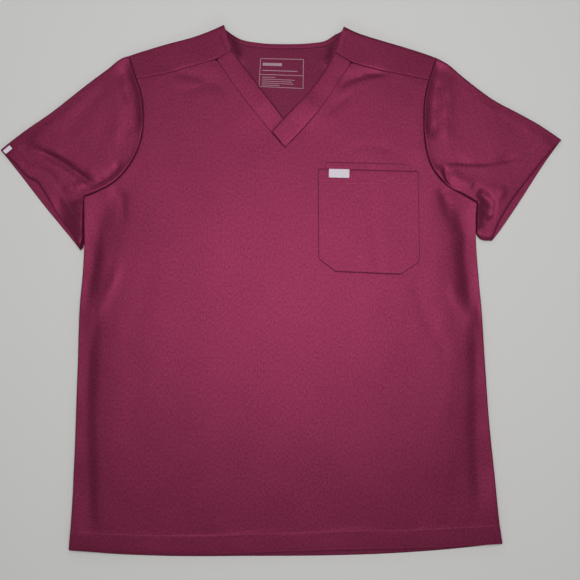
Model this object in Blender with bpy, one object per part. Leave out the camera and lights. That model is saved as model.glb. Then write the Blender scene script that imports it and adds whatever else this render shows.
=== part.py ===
"""Short-sleeved medical scrub top, laid flat on its back, as its separate pieces of cloth.

+Z is up and the floor is Z = 0. +Y points to the neck and +X to the wearer's left. The origin is on
the floor, near the middle of the garment. The rear layer lies on the floor. The upper layer (front,
neck bands, folded-over shoulders and the upper side of both sleeves) lies on it at one shared height,
worked out by upper_height() from a short table of folds.
"""

from collections import namedtuple
import math

import bpy
import numpy as np

# Cloth, in metres like everything else
WALL = 0.0012               # one layer of cloth
BAND_WALL = 0.0016          # neck band, folded double
LABEL_WALL = 0.0010         # woven label
SEAM_GAP = 0.0003           # between pieces that meet or lie on each other
LAYER = WALL + SEAM_GAP     # underside of a layer that lies on the rear layer
LOFT = 0.0026               # how far the upper layer stands off the rear layer
EDGE_ROLL = 0.007           # width over which it comes down to a side, hem or cuff
FOLD_END = 0.2              # share of a fold's length over which each of its ends dies away
CUFF_FOLD = (WALL + LAYER) / 2      # radius of a fold with both layers pressed together
SHOULDER_FOLD = 0.0030      # radius of the shoulder fold at the armhole
NECK_FOLD = 0.0052          # and at the neck, where it stands open

# Corners of the outline as it lies: (x, y)
HEM_LEFT = (-0.2845, -0.3616)
HEM_RIGHT = (0.2978, -0.3530)
UNDERARM_LEFT = (-0.2760, 0.1200)
UNDERARM_RIGHT = (0.2740, 0.1115)
SHOULDER_LEFT = (-0.2178, 0.3238)
SHOULDER_RIGHT = (0.2216, 0.3206)
NECK_LEFT = (-0.0815, 0.3672)
NECK_RIGHT = (0.0888, 0.3650)
SEAM_LEFT = (-0.2064, 0.2890)       # outer ends of the forward shoulder seams
SEAM_RIGHT = (0.2100, 0.2867)
BAND_LEFT = (-0.0916, 0.3166)       # where the seams meet the outer edges of the neck bands
BAND_RIGHT = (0.0993, 0.3122)
BAND_LEFT_INNER = (-0.0703, 0.3299)     # and their inner edges
BAND_RIGHT_INNER = (0.0766, 0.3269)
V_POINT = (0.0054, 0.1886)          # point of the V, on the seam of the bands
V_INNER = (0.0040, 0.2319)          # where the inner edges of the bands cross
CUFF_LEFT = (-0.3958, 0.1872)
CUFF_RIGHT = (0.3956, 0.2020)
CUFF_UNDER_LEFT = (-0.2798, 0.0446)
CUFF_UNDER_RIGHT = (0.2944, 0.0580)

# Edge curves, through the points between their corners
SIDE_LEFT = (HEM_LEFT, (-0.2828, -0.3350), (-0.2803, -0.2500), (-0.2790, -0.1200), (-0.2776, -0.0250),
             (-0.2746, 0.0300), (-0.2746, 0.0780), UNDERARM_LEFT)
SIDE_RIGHT = (HEM_RIGHT, (0.2952, -0.3350), (0.2896, -0.2650), (0.2836, -0.1900), (0.2798, -0.1080),
              (0.2762, -0.0254), (0.2728, 0.0300), (0.2715, 0.0650), (0.2720, 0.0900), UNDERARM_RIGHT)
ARMHOLE_LEFT = (UNDERARM_LEFT, (-0.2608, 0.1256), (-0.2331, 0.1413), (-0.2098, 0.1699),
                (-0.1977, 0.2016), (-0.1955, 0.2400), (-0.1989, 0.2668), SEAM_LEFT)
ARMHOLE_RIGHT = (UNDERARM_RIGHT, (0.2576, 0.1213), (0.2327, 0.1356), (0.2121, 0.1613),
                 (0.2035, 0.1943), (0.2019, 0.2300), (0.2046, 0.2639), SEAM_RIGHT)
FRONT_HEM = (HEM_LEFT, (-0.2320, -0.3648), (-0.1044, -0.3667), (-0.0010, -0.3637),
             (0.0917, -0.3607), (0.1831, -0.3588), (0.2612, -0.3552), HEM_RIGHT)
REAR_HEM = (HEM_LEFT, (-0.2322, -0.3664), (-0.1677, -0.3692), (-0.0319, -0.3696),
            (0.0669, -0.3688), (0.1341, -0.3668), (0.2358, -0.3598), HEM_RIGHT)
SHOULDER_FOLD_LEFT = (SHOULDER_LEFT, (-0.2017, 0.3293), (-0.1636, 0.3410), (-0.1229, 0.3519),
                      (-0.0949, 0.3622), NECK_LEFT)
SHOULDER_FOLD_RIGHT = (SHOULDER_RIGHT, (0.2055, 0.3268), (0.1774, 0.3360), (0.1420, 0.3464),
                       (0.1061, 0.3578), NECK_RIGHT)
SHOULDER_SEAM_LEFT = (SEAM_LEFT, (-0.1724, 0.2946), (-0.1299, 0.3063), BAND_LEFT)
SHOULDER_SEAM_RIGHT = (SEAM_RIGHT, (0.1831, 0.2931), (0.1405, 0.3012), BAND_RIGHT)
REAR_NECK = ((-0.0692, 0.3549), (-0.0577, 0.3493), (-0.0336, 0.3443), (0.0053, 0.3423),
             (0.0417, 0.3437), (0.0622, 0.3469), (0.0760, 0.3549))
V_LEFT = (BAND_LEFT, (-0.0500, 0.2565), V_POINT)
V_RIGHT = (BAND_RIGHT, (0.0521, 0.2406), V_POINT)
V_LEFT_INNER = (BAND_LEFT_INNER, V_INNER)
V_RIGHT_INNER = (BAND_RIGHT_INNER, (0.0500, 0.2830), V_INNER)
SLEEVE_TOP_LEFT = (SHOULDER_LEFT, (-0.2250, 0.3214), (-0.2470, 0.3045), (-0.2720, 0.2852),
                   (-0.3270, 0.2402), (-0.3649, 0.2127), (-0.3825, 0.1987), CUFF_LEFT)
SLEEVE_TOP_RIGHT = (SHOULDER_RIGHT, (0.2330, 0.3145), (0.2594, 0.2920), (0.3030, 0.2584),
                    (0.3378, 0.2392), (0.3664, 0.2225), CUFF_RIGHT)
SLEEVE_UNDER_LEFT = (UNDERARM_LEFT, (-0.2760, 0.0950), (-0.2755, 0.0700), (-0.2756, 0.0520), CUFF_UNDER_LEFT)
SLEEVE_UNDER_RIGHT = (UNDERARM_RIGHT, (0.2732, 0.0930), (0.2728, 0.0780), (0.2738, 0.0660),
                      (0.2790, 0.0606), CUFF_UNDER_RIGHT)
CUFF_REAR_LEFT = (CUFF_UNDER_LEFT, (-0.2871, 0.0540), (-0.3088, 0.0800), (-0.3287, 0.1037),
                  (-0.3722, 0.1583), CUFF_LEFT)
CUFF_FRONT_LEFT = (CUFF_UNDER_LEFT, (-0.2880, 0.0598), (-0.3080, 0.0865), (-0.3323, 0.1242),
                   (-0.3414, 0.1399), (-0.3670, 0.1570), CUFF_LEFT)
CUFF_REAR_RIGHT = (CUFF_UNDER_RIGHT, (0.3012, 0.0664), (0.3206, 0.0932), (0.3340, 0.1128),
                   (0.3740, 0.1729), CUFF_RIGHT)
CUFF_FRONT_RIGHT = (CUFF_UNDER_RIGHT, (0.3012, 0.0770), (0.3260, 0.1180), (0.3444, 0.1345), CUFF_RIGHT)

# Pockets, lying on the front: the bottom edge, the two sides above it, and the mouth
POCKET = {
    "bottom": ((0.0755, 0.0140), (0.1651, 0.0100)),
    "left": ((0.0755, 0.0140), (0.0516, 0.0324), (0.0518, 0.1589)),
    "right": ((0.1651, 0.0100), (0.1913, 0.0282), (0.1912, 0.1552)),
    "mouth": ((0.0518, 0.1589), (0.1912, 0.1552)),
    "steps": (2, 6),
}
POCKET_INNER = {
    "bottom": ((0.0762, 0.0152), (0.1646, 0.0112)),
    "left": ((0.0762, 0.0152), (0.0528, 0.0330), (0.0530, 0.1380), (0.0622, 0.1560), (0.0622, 0.1685)),
    "right": ((0.1646, 0.0112), (0.1901, 0.0290), (0.1900, 0.1380), (0.1811, 0.1540), (0.1811, 0.1617)),
    "mouth": ((0.0622, 0.1685), (0.1739, 0.1656), (0.1811, 0.1617)),
    "steps": (2, 4, 1, 1),
}
LABEL_CORNER = (0.0662, 0.1455)     # lower left corner
LABEL_SIZE = (0.0288, 0.0125)
LABEL_TILT = -0.026                 # the slope of the pocket's mouth
FACING_WIDTH = 0.0070               # strip along the back neck
FACING_ENDS = (0.05, 0.95)          # shares of the back neck edge between which it runs
BAND_RISE = (0.35, 0.70)            # shares of the right band's length over which it climbs the left one
TOP_REACH = 0.033                   # how far from a sleeve's top fold its height is felt
TAB_ALONG = (0.937, 0.993)          # shares of the sleeve's length and of the way round its upper side
TAB_ROUND = (0.941, 0.983)

# Folds of the upper layer. Each runs through three points; a hollow has a negative height.
Fold = namedtuple("Fold", "name start middle end width height")
FOLDS = (
    Fold("left side roll", (-0.2660, 0.1000), (-0.2705, -0.0700), (-0.2730, -0.3000), 0.0080, 0.0030),
    Fold("left upper hollow", (-0.2180, 0.1280), (-0.2430, 0.0560), (-0.2690, -0.0420), 0.0120, -0.0026),
    Fold("left lower hollow", (-0.2350, -0.0240), (-0.2580, -0.1500), (-0.2400, -0.3200), 0.0110, -0.0025),
    Fold("left swell", (-0.2080, 0.0800), (-0.2260, -0.1200), (-0.2180, -0.3000), 0.0200, 0.0014),
    Fold("right side roll", (0.2640, 0.0950), (0.2700, -0.0700), (0.2830, -0.2900), 0.0080, 0.0030),
    Fold("right upper hollow", (0.2100, 0.1530), (0.2400, 0.0680), (0.2680, -0.0480), 0.0130, -0.0026),
    Fold("right lower hollow", (0.2610, -0.0360), (0.2600, -0.1600), (0.2580, -0.3250), 0.0100, -0.0025),
    Fold("right swell", (0.2120, 0.0500), (0.2290, -0.1200), (0.2240, -0.3000), 0.0200, 0.0014),
    Fold("left armhole edge", (-0.2050, 0.3000), (-0.1850, 0.2250), (-0.2080, 0.1500), 0.0080, 0.0020),
    Fold("left armhole groove", (-0.2230, 0.3130), (-0.2010, 0.2350), (-0.2100, 0.1820), 0.0060, -0.0032),
    Fold("left groove below", (-0.2060, 0.1870), (-0.2270, 0.1560), (-0.2680, 0.1300), 0.0090, -0.0034),
    Fold("left sleeve head", (-0.2450, 0.2900), (-0.2240, 0.2350), (-0.2330, 0.1900), 0.0120, 0.0020),
    Fold("right armhole edge", (0.2070, 0.3000), (0.1920, 0.2250), (0.2060, 0.1500), 0.0080, 0.0020),
    Fold("right armhole groove", (0.2230, 0.3130), (0.2070, 0.2400), (0.2060, 0.1900), 0.0060, -0.0032),
    Fold("right groove below", (0.2080, 0.1850), (0.2320, 0.1480), (0.2640, 0.1240), 0.0060, -0.0020),
    Fold("right sleeve head", (0.2440, 0.2850), (0.2280, 0.2350), (0.2300, 0.1950), 0.0120, 0.0020),
    Fold("left sleeve crease", (-0.3650, 0.2060), (-0.3110, 0.1750), (-0.2540, 0.1370), 0.0070, -0.0030),
    Fold("left sleeve swell", (-0.3400, 0.2060), (-0.2850, 0.1900), (-0.2400, 0.1720), 0.0120, 0.0016),
    Fold("left sleeve hollow", (-0.2890, 0.1180), (-0.2860, 0.0850), (-0.2830, 0.0540), 0.0080, -0.0026),
    Fold("right sleeve crease", (0.2280, 0.1700), (0.2750, 0.1610), (0.3320, 0.1740), 0.0060, -0.0024),
    Fold("right short crease", (0.2260, 0.1600), (0.2330, 0.1470), (0.2440, 0.1320), 0.0050, -0.0020),
    Fold("right sleeve ridge", (0.2560, 0.1480), (0.2900, 0.1330), (0.3180, 0.1250), 0.0070, 0.0016),
    Fold("right sleeve hollow", (0.2780, 0.1200), (0.2880, 0.1080), (0.2850, 0.0900), 0.0070, -0.0026),
    Fold("right tucked fold", (0.2780, 0.0960), (0.2840, 0.0800), (0.2900, 0.0680), 0.0050, 0.0028),
    Fold("right chest crease", (0.0760, 0.2640), (0.1260, 0.2900), (0.1860, 0.2900), 0.0070, -0.0014),
    Fold("left chest crease", (-0.1580, 0.3000), (-0.1150, 0.2900), (-0.0700, 0.2720), 0.0090, -0.0012),
)

# How finely each edge is divided
SIDE_STEPS = (0.004, 0.005, 0.006, 0.007, 0.009, 0.012, 0.016, 0.020, 0.022)    # from a side inwards
V_STEPS = 7
V_INNER_STEPS = 5           # of them, down to where the bands cross
BAND_STEPS = 2
ARMHOLE_STEPS = 16          # from the underarm to the forward seam
SHOULDER_STEPS = 4          # from the forward seam to the shoulder fold
FRONT_SIDE_STEPS = 18
REAR_SIDE_STEPS = 9
NECK_STEPS = 12
FOLD_STEPS = 6              # round a folded edge
ARMHOLE_BEND_FADE = 3       # how fast the rows of a sleeve straighten away from the armhole
CURVE_STEPS = 40            # for each stretch of a curve, while it is measured
EDGE_SAMPLES = 24           # along an edge and along a fold, to measure distances from it
FOLD_SAMPLES = 12
SMOOTH_ANGLE = 50           # degrees; sharper edges are drawn sharp
POCKET_STEPS = 8
SLEEVE_HEAD = (0, 0.03, 0.07, 0.12, 0.18, 0.25, 0.34, 0.45)     # shares of a sleeve's folded top, for the
SLEEVE_BODY = (0.53, 0.60, 0.66, 0.72, 0.78, 0.84, 0.90, 0.95, 1)   # rows above and below the underarm

CLOTH_COLOUR = (0.155, 0.020, 0.055, 1.0)
LABEL_COLOUR = (0.62, 0.58, 0.66, 1.0)
ROUGHNESS = 0.85


def even(steps):
    """Shares 0 to 1 in equal steps."""
    return np.linspace(0, 1, steps + 1)


def shares_of(steps):
    """Shares 0 to 1 in the given steps."""
    return np.concatenate([[0], np.cumsum(steps)]) / sum(steps)


def ease(share):
    """A smooth step from 0 to 1."""
    share = np.clip(share, 0, 1)
    return share * share * (3 - 2 * share)


def along(points, shares):
    """Points at the given shares of the length of a path of straight runs."""
    points = np.array(points, float)
    travelled = np.concatenate([[0], np.cumsum(np.linalg.norm(np.diff(points, axis=0), axis=1))])
    wanted = np.asarray(shares) * travelled[-1]
    return np.stack([np.interp(wanted, travelled, points[:, axis]) for axis in (0, 1)], axis=1)


def curve(knots, shares):
    """Points at the given shares of the length of a smooth curve through the knots."""
    knots = np.array(knots, float)
    chords = np.linalg.norm(np.diff(knots, axis=0), axis=1)
    reached = np.concatenate([[0], np.cumsum(chords)])
    slopes = np.gradient(knots, reached, axis=0)
    fine = np.linspace(0, reached[-1], CURVE_STEPS * len(chords) + 1)
    piece = np.clip(np.searchsorted(reached, fine, side="right") - 1, 0, len(chords) - 1)
    chord = chords[piece][:, None]
    t = (fine[:, None] - reached[piece][:, None]) / chord
    path = ((2 * t**3 - 3 * t**2 + 1) * knots[piece] + (t**3 - 2 * t**2 + t) * chord * slopes[piece]
            + (3 * t**2 - 2 * t**3) * knots[piece + 1] + (t**3 - t**2) * chord * slopes[piece + 1])
    return along(path, shares)


def unit(vectors):
    return vectors / np.linalg.norm(vectors, axis=-1, keepdims=True)


def patch(bottom, top, left, right, fade=1):
    """Fill four edges with a grid of points, rows from bottom to top. Left and right run upwards.

    Rows are straight, plus what the bottom and top edges bend from straight, less the further away.
    """
    left, right = left.copy(), right.copy()
    left[0], left[-1], right[0], right[-1] = bottom[0], top[0], bottom[-1], top[-1]
    u = shares_of(np.linalg.norm(np.diff(bottom, axis=0), axis=1))[:, None]
    v = shares_of(np.linalg.norm(np.diff(left, axis=0), axis=1))[:, None, None]
    rows = (1 - u) * left[:, None] + u * right[:, None]
    return rows + (1 - v) ** fade * (bottom - rows[0]) + v ** fade * (top - rows[-1])


def across(line, beside):
    """Directions in plan across a line of points, away from the points beside it."""
    run = unit(np.gradient(line, axis=0))
    turned = np.stack([run[:, 1], -run[:, 0]], axis=1)
    return turned * np.sign((turned * (line - beside)).sum())


def drawn_back(grid, edges="bottom top left right"):
    """The grid with its edges moved in by half the seam gap, so that neighbours stand apart."""
    places = {"bottom": (0, 1, 0), "top": (-1, -2, 0), "left": (0, 1, 1), "right": (-1, -2, 1)}
    moved = grid.copy()
    for edge in edges.split():
        at, beside, axis = places[edge]
        step = across(np.take(grid, at, axis), np.take(grid, beside, axis)) * SEAM_GAP / 2
        if axis == 0:
            moved[at] -= step
        else:
            moved[:, at] -= step
    return moved


def nearest(points, path):
    """Distance of each point to a path of straight runs, and the share of its length reached there."""
    starts, runs = path[:-1], np.diff(path, axis=0)
    lengths = np.linalg.norm(runs, axis=1)
    reached = np.concatenate([[0], np.cumsum(lengths)])
    offsets = points[..., None, :] - starts
    part = np.clip((offsets * runs).sum(axis=-1) / lengths**2, 0, 1)
    distances = np.linalg.norm(offsets - part[..., None] * runs, axis=-1)
    closest = distances.argmin(axis=-1)
    pick = np.take_along_axis(part, closest[..., None], axis=-1)[..., 0]
    share = (reached[closest] + pick * lengths[closest]) / reached[-1]
    return distances.min(axis=-1), share


RESTING_EDGES = [curve(knots, even(EDGE_SAMPLES)) for knots in
                 (SIDE_LEFT, SIDE_RIGHT, FRONT_HEM, CUFF_FRONT_LEFT, CUFF_FRONT_RIGHT)]
FOLD_PATHS = [curve((fold.start, fold.middle, fold.end), even(FOLD_SAMPLES)) for fold in FOLDS]


def upper_height(points):
    """Height of the upper layer's underside above the floor at points (x, y)."""
    lift = np.full(points.shape[:-1], LOFT)
    for fold, path in zip(FOLDS, FOLD_PATHS):
        distance, share = nearest(points, path)
        fade = ease(share / FOLD_END) * ease((1 - share) / FOLD_END)
        lift = lift + fold.height * fade * np.exp(-(distance / fold.width) ** 2)
    resting = np.min([nearest(points, edge)[0] for edge in RESTING_EDGES], axis=0)
    roll = np.sqrt(1 - (1 - np.clip(resting / EDGE_ROLL, 0, 1)) ** 2)
    return LAYER + np.maximum(lift, 0) * roll


def raised(points, heights):
    """Points (x, y) with a height each."""
    return np.concatenate([points, np.broadcast_to(heights, points.shape[:-1])[..., None]], axis=-1)


def fold_arc(edges, directions, radii, wall, angles):
    """Both faces of a folded edge: a half round of cloth that stands on the floor.

    edges are the outermost points, and directions point outwards from the cloth. An angle of -90
    degrees is on the floor and 90 degrees is on top.
    """
    centres = edges - directions * radii[:, None]
    faces = []
    for reach in (radii, radii - wall):
        rows = [raised(centres + directions * (reach * math.cos(angle))[:, None],
                       radii + reach * math.sin(angle)) for angle in angles]
        faces.append(np.array(rows))
    return faces


def quads(index):
    """The four-sided faces of a grid of vertex numbers."""
    return np.stack([index[:-1, :-1], index[:-1, 1:], index[1:, 1:], index[1:, :-1]], axis=-1).reshape(-1, 4)


def material(name, colour):
    made = bpy.data.materials.new(name)
    made.use_nodes = True
    shader = made.node_tree.nodes["Principled BSDF"]
    shader.inputs["Base Color"].default_value = colour
    shader.inputs["Roughness"].default_value = ROUGHNESS
    shader.inputs["Metallic"].default_value = 0.0
    return made


def cloth(name, outer, inner, faces, colour):
    """Make one closed wall of cloth from its two faces and a rim round every open edge."""
    count = len(outer)
    faces = [tuple(int(corner) for corner in face) for face in faces]
    runs = {(face[k], face[(k + 1) % 4]) for face in faces for k in range(4)}
    rim = [(b, a, a + count, b + count) for a, b in runs if (b, a) not in runs]
    far_side = [tuple(corner + count for corner in reversed(face)) for face in faces]
    mesh = bpy.data.meshes.new(name)
    mesh.from_pydata(np.concatenate([outer, inner]).tolist(), [], faces + far_side + sorted(rim))
    mesh.validate()
    mesh.materials.append(material(name, colour))
    piece = bpy.data.objects.new(name, mesh)
    bpy.context.scene.collection.objects.link(piece)
    bpy.ops.object.select_all(action="DESELECT")
    piece.select_set(True)
    bpy.context.view_layer.objects.active = piece
    bpy.ops.object.mode_set(mode="EDIT")
    bpy.ops.mesh.select_all(action="SELECT")
    bpy.ops.mesh.normals_make_consistent(inside=False)
    bpy.ops.object.mode_set(mode="OBJECT")
    mesh.shade_smooth()
    mesh.set_sharp_from_angle(angle=math.radians(SMOOTH_ANGLE))
    return piece


def flat_piece(name, grid, under, wall, colour=CLOTH_COLOUR):
    """A piece that lies as one layer: its plan, the height of its underside, and its wall."""
    index = np.arange(grid.shape[0] * grid.shape[1]).reshape(grid.shape[:2])
    outer = raised(grid, under + wall).reshape(-1, 3)
    inner = raised(grid, under).reshape(-1, 3)
    return cloth(name, outer, inner, quads(index), colour)


Shoulder = namedtuple("Shoulder", "seam fold out radii inset")


def shoulder(seam_knots, fold_knots, inner_corner):
    """Plan of one folded-over shoulder, from armhole to neck: its forward seam, its fold, the way out
    across the fold, the radius of the fold, and where the fold leaves the floor."""
    outer_part = curve(seam_knots, shares_of(SIDE_STEPS))
    inner_part = along((seam_knots[-1], inner_corner), even(BAND_STEPS))
    seam = np.concatenate([outer_part, inner_part[1:]])
    travelled = shares_of(np.linalg.norm(np.diff(seam, axis=0), axis=1))
    seam, fold = drawn_back(np.stack([seam, curve(fold_knots, travelled)]))
    out = unit(fold - seam)
    radii = SHOULDER_FOLD + (NECK_FOLD - SHOULDER_FOLD) * travelled
    return Shoulder(seam, fold, out, radii, fold - out * radii[:, None])


SHOULDERS = {
    "left": shoulder(SHOULDER_SEAM_LEFT, SHOULDER_FOLD_LEFT, BAND_LEFT_INNER),
    "right": shoulder(SHOULDER_SEAM_RIGHT, SHOULDER_FOLD_RIGHT, BAND_RIGHT_INNER),
}
ARMHOLES = {"left": ARMHOLE_LEFT, "right": ARMHOLE_RIGHT}
SIDES = {"left": SIDE_LEFT, "right": SIDE_RIGHT}
SHOULDER_ENDS = {"left": SHOULDER_LEFT, "right": SHOULDER_RIGHT}


def armhole(side):
    """The armhole in plan, from the underarm up to the outer end of the shoulder fold."""
    lower = curve(ARMHOLES[side], even(ARMHOLE_STEPS))
    out = unit(np.subtract(SHOULDER_ENDS[side], ARMHOLES[side][-1]))
    upper = along((ARMHOLES[side][-1], SHOULDER_ENDS[side] - out * SHOULDER_FOLD), even(SHOULDER_STEPS))
    return np.concatenate([lower, upper[1:]])


def rear_neck():
    """The back neck edge, between the inner ends of the two shoulder folds."""
    ends = SHOULDERS["left"].inset[-1], SHOULDERS["right"].inset[-1]
    return curve((ends[0],) + REAR_NECK + (ends[1],), even(NECK_STEPS))


def make_back():
    """The rear panel, cut in one with its shoulders, which fold over to the forward seams."""
    left_inset, right_inset = SHOULDERS["left"].inset, SHOULDERS["right"].inset[::-1]
    top = np.concatenate([left_inset, rear_neck()[1:-1], right_inset])
    hem = curve(REAR_HEM, shares_of(np.linalg.norm(np.diff(top, axis=0), axis=1)))
    left, right = (np.concatenate([curve(SIDES[side], even(REAR_SIDE_STEPS))[:-1], armhole(side)])
                   for side in SIDES)
    grid = drawn_back(patch(hem, top, left, right))
    columns = len(left_inset)
    grid[-1, :columns], grid[-1, -columns:] = left_inset, right_inset
    base = np.arange(grid.shape[0] * grid.shape[1]).reshape(grid.shape[:2])
    outer, inner, faces = [raised(grid, 0.0)], [raised(grid, WALL)], [quads(base)]

    angles = np.radians(np.linspace(-90, 90, FOLD_STEPS + 1))[1:]
    shares = even(SHOULDER_STEPS)[1:, None]
    used = base.size
    for side, order, joined in (("left", slice(None), base[-1, :columns]),
                                ("right", slice(None, None, -1), base[-1, -columns:])):
        seam, fold, out, radii, inset = SHOULDERS[side]
        arc_outer, arc_inner = fold_arc(fold, out, radii, WALL, angles)
        lap = inset + (seam - inset) * shares[..., None]
        under = (2 * radii - WALL) * (1 - ease(shares)) + upper_height(lap) * ease(shares)
        outer.append(np.concatenate([arc_outer, raised(lap, under + WALL)])[:, order])
        inner.append(np.concatenate([arc_inner, raised(lap, under)])[:, order])
        index = used + np.arange(outer[-1].size // 3).reshape(outer[-1].shape[:2])
        used += index.size
        faces.append(quads(np.concatenate([joined[None], index])))
    outer, inner = (np.concatenate([part.reshape(-1, 3) for part in parts]) for parts in (outer, inner))
    cloth("back", outer, inner, np.concatenate(faces), CLOTH_COLOUR)


def make_front():
    """The front panel, from the hem to the forward seams, with the V cut out of it."""
    seam_left = curve(SHOULDER_SEAM_LEFT, shares_of(SIDE_STEPS))
    seam_right = curve(SHOULDER_SEAM_RIGHT, shares_of(SIDE_STEPS))
    v_left, v_right = curve(V_LEFT, even(V_STEPS)), curve(V_RIGHT, even(V_STEPS))
    top = np.concatenate([seam_left, v_left[1:], v_right[::-1][1:], seam_right[::-1][1:]])
    width = HEM_RIGHT[0] - HEM_LEFT[0]
    middle = [(width - 2 * sum(SIDE_STEPS)) / (2 * V_STEPS)] * (2 * V_STEPS)
    hem = curve(FRONT_HEM, shares_of(list(SIDE_STEPS) + middle + list(SIDE_STEPS[::-1])))
    left, right = (np.concatenate([curve(SIDES[side], even(FRONT_SIDE_STEPS)),
                                   curve(ARMHOLES[side], even(ARMHOLE_STEPS))[1:]]) for side in SIDES)
    grid = drawn_back(patch(hem, top, left, right))
    flat_piece("front", grid, upper_height(grid), WALL)


def meeting_point(run, start, direction):
    """Where a straight line from start meets a straight run between two points."""
    (ax, ay), (bx, by) = run
    run_x, run_y = bx - ax, by - ay
    reach = (((ax - start[0]) * run_y - (ay - start[1]) * run_x)
             / (direction[0] * run_y - direction[1] * run_x))
    return start[0] + direction[0] * reach, start[1] + direction[1] * reach


def make_neck_bands():
    """Two bands of double cloth round the V. The right one crosses over the left one at its point."""
    crossing_steps = V_STEPS - V_INNER_STEPS
    for name, edge, inner_edge, other_edge in (
            ("neck_band_left", V_LEFT, V_LEFT_INNER, V_RIGHT),
            ("neck_band_right", V_RIGHT, V_RIGHT_INNER, V_LEFT)):
        crossing = meeting_point(other_edge[1:], V_INNER, np.subtract(V_INNER, inner_edge[-2]))
        inner_line = np.concatenate([curve(inner_edge, even(V_INNER_STEPS)),
                                     along((V_INNER, crossing), even(crossing_steps))[1:]])
        outer_line = curve(edge, even(V_STEPS))
        grid = drawn_back(np.stack([outer_line + (inner_line - outer_line) * share
                                    for share in even(BAND_STEPS)], axis=1))
        height = upper_height(grid)
        if name == "neck_band_right":
            clear = ease((even(V_STEPS)[:, None] - BAND_RISE[0]) / (BAND_RISE[1] - BAND_RISE[0]))
            height = height + (BAND_WALL + 2 * SEAM_GAP) * clear
        flat_piece(name, grid, height, BAND_WALL)


def make_neck_facing():
    """The strip turned in along the back neck edge, on the inside of the rear panel."""
    edge = along(rear_neck(), FACING_ENDS[0] + (FACING_ENDS[1] - FACING_ENDS[0]) * even(NECK_STEPS))
    run = unit(np.gradient(edge, axis=0))
    inward = np.stack([run[:, 1], -run[:, 0]], axis=1)
    grid = drawn_back(np.stack([edge + inward * FACING_WIDTH, edge + inward * SEAM_GAP]))
    flat_piece("neck_facing", grid, LAYER, WALL)


def make_pockets():
    """A chest pocket of two pieces with cut corners, and the label at its mouth."""
    for name, outline, layers in (("pocket_inner", POCKET_INNER, 1), ("pocket", POCKET, 2)):
        bottom, mouth = (along(outline[edge], even(POCKET_STEPS)) for edge in ("bottom", "mouth"))
        left, right = (np.concatenate([along(run, even(steps))[first:] for first, run, steps in
                                       zip((0, 1, 1, 1), zip(outline[edge], outline[edge][1:]),
                                           outline["steps"])]) for edge in ("left", "right"))
        grid = patch(bottom, mouth, left, right)
        flat_piece(name, grid, upper_height(grid) + layers * LAYER, WALL)
    tilt = np.array(((math.cos(LABEL_TILT), math.sin(LABEL_TILT)),
                     (-math.sin(LABEL_TILT), math.cos(LABEL_TILT))))
    across, up = np.meshgrid(even(4) * LABEL_SIZE[0], even(2) * LABEL_SIZE[1])
    grid = np.stack([across, up], axis=-1) @ tilt + LABEL_CORNER
    flat_piece("pocket_label", grid, upper_height(grid) + 3 * LAYER, LABEL_WALL, LABEL_COLOUR)


def make_sleeve(side, top_knots, under_knots, front_cuff, rear_cuff):
    """A short sleeve: one flattened tube, folded along its top and under the arm.

    Its plan is a grid. Rows run from the upper armhole to the cuff. One side is the folded top, and
    the other is the lower armhole, as far as the underarm, and then the fold under the arm.
    """
    stations = np.array(SLEEVE_HEAD + SLEEVE_BODY)
    underarm = len(SLEEVE_HEAD) - 1
    edge = armhole(side)
    edge[-1] = SHOULDER_ENDS[side]
    start, seam = edge[underarm:], edge[underarm::-1]
    under = np.concatenate([seam, curve(under_knots, even(len(SLEEVE_BODY)))[1:]])
    around = shares_of(np.linalg.norm(np.diff(start, axis=0), axis=1))
    front, rear = (drawn_back(patch(start, curve(cuff, around), under, curve(top_knots, stations),
                                    ARMHOLE_BEND_FADE), "bottom left") for cuff in (front_cuff, rear_cuff))
    top, under = front[:, -1].copy(), front[underarm:, 0].copy()
    out_top, out_under = across(top, front[:, -2]), across(under, front[underarm:, 1])
    out_top[0] = unit(top[0] - front[0, -2])        # as the shoulder fold that it meets
    top_radii = SHOULDER_FOLD + (CUFF_FOLD - SHOULDER_FOLD) * stations
    under_radii = np.full(len(under), CUFF_FOLD)
    for layer in (front, rear):
        layer[:, -1] = top - out_top * top_radii[:, None]
        layer[underarm:, 0] = under - out_under * CUFF_FOLD
    height = upper_height(front)
    from_top = np.linalg.norm(front - front[:, -1:], axis=2)
    height += (2 * top_radii[:, None] - WALL - height) * (1 - ease(from_top / TOP_REACH))
    height[underarm:, 0] = LAYER

    turning = np.radians(np.linspace(90, -90, FOLD_STEPS + 1))[1:-1]
    top_faces = fold_arc(top, out_top, top_radii, WALL, turning)
    under_faces = fold_arc(under, out_under, under_radii, WALL, turning[::-1])
    numbers = []
    for part in (front, top_faces[0].swapaxes(0, 1), rear, under_faces[0].swapaxes(0, 1)):
        used = numbers[-1].max() + 1 if numbers else 0
        numbers.append(used + np.arange(part.shape[0] * part.shape[1]).reshape(part.shape[:2]))
    upper, over_top, lower, over_under = numbers
    strips = (upper, np.concatenate([upper[:, -1:], over_top, lower[:, -1:]], axis=1), lower[:, ::-1],
              np.concatenate([lower[underarm:, :1], over_under, upper[underarm:, :1]], axis=1))
    outer, inner = (np.concatenate([part.reshape(-1, 3) for part in parts]) for parts in (
        (raised(front, height + WALL), top_faces[0].swapaxes(0, 1), raised(rear, 0.0),
         under_faces[0].swapaxes(0, 1)),
        (raised(front, height), top_faces[1].swapaxes(0, 1), raised(rear, WALL),
         under_faces[1].swapaxes(0, 1))))
    cloth("sleeve_" + side, outer, inner, np.concatenate([quads(strip) for strip in strips]), CLOTH_COLOUR)
    return stations, around, raised(front, height + WALL)


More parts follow.
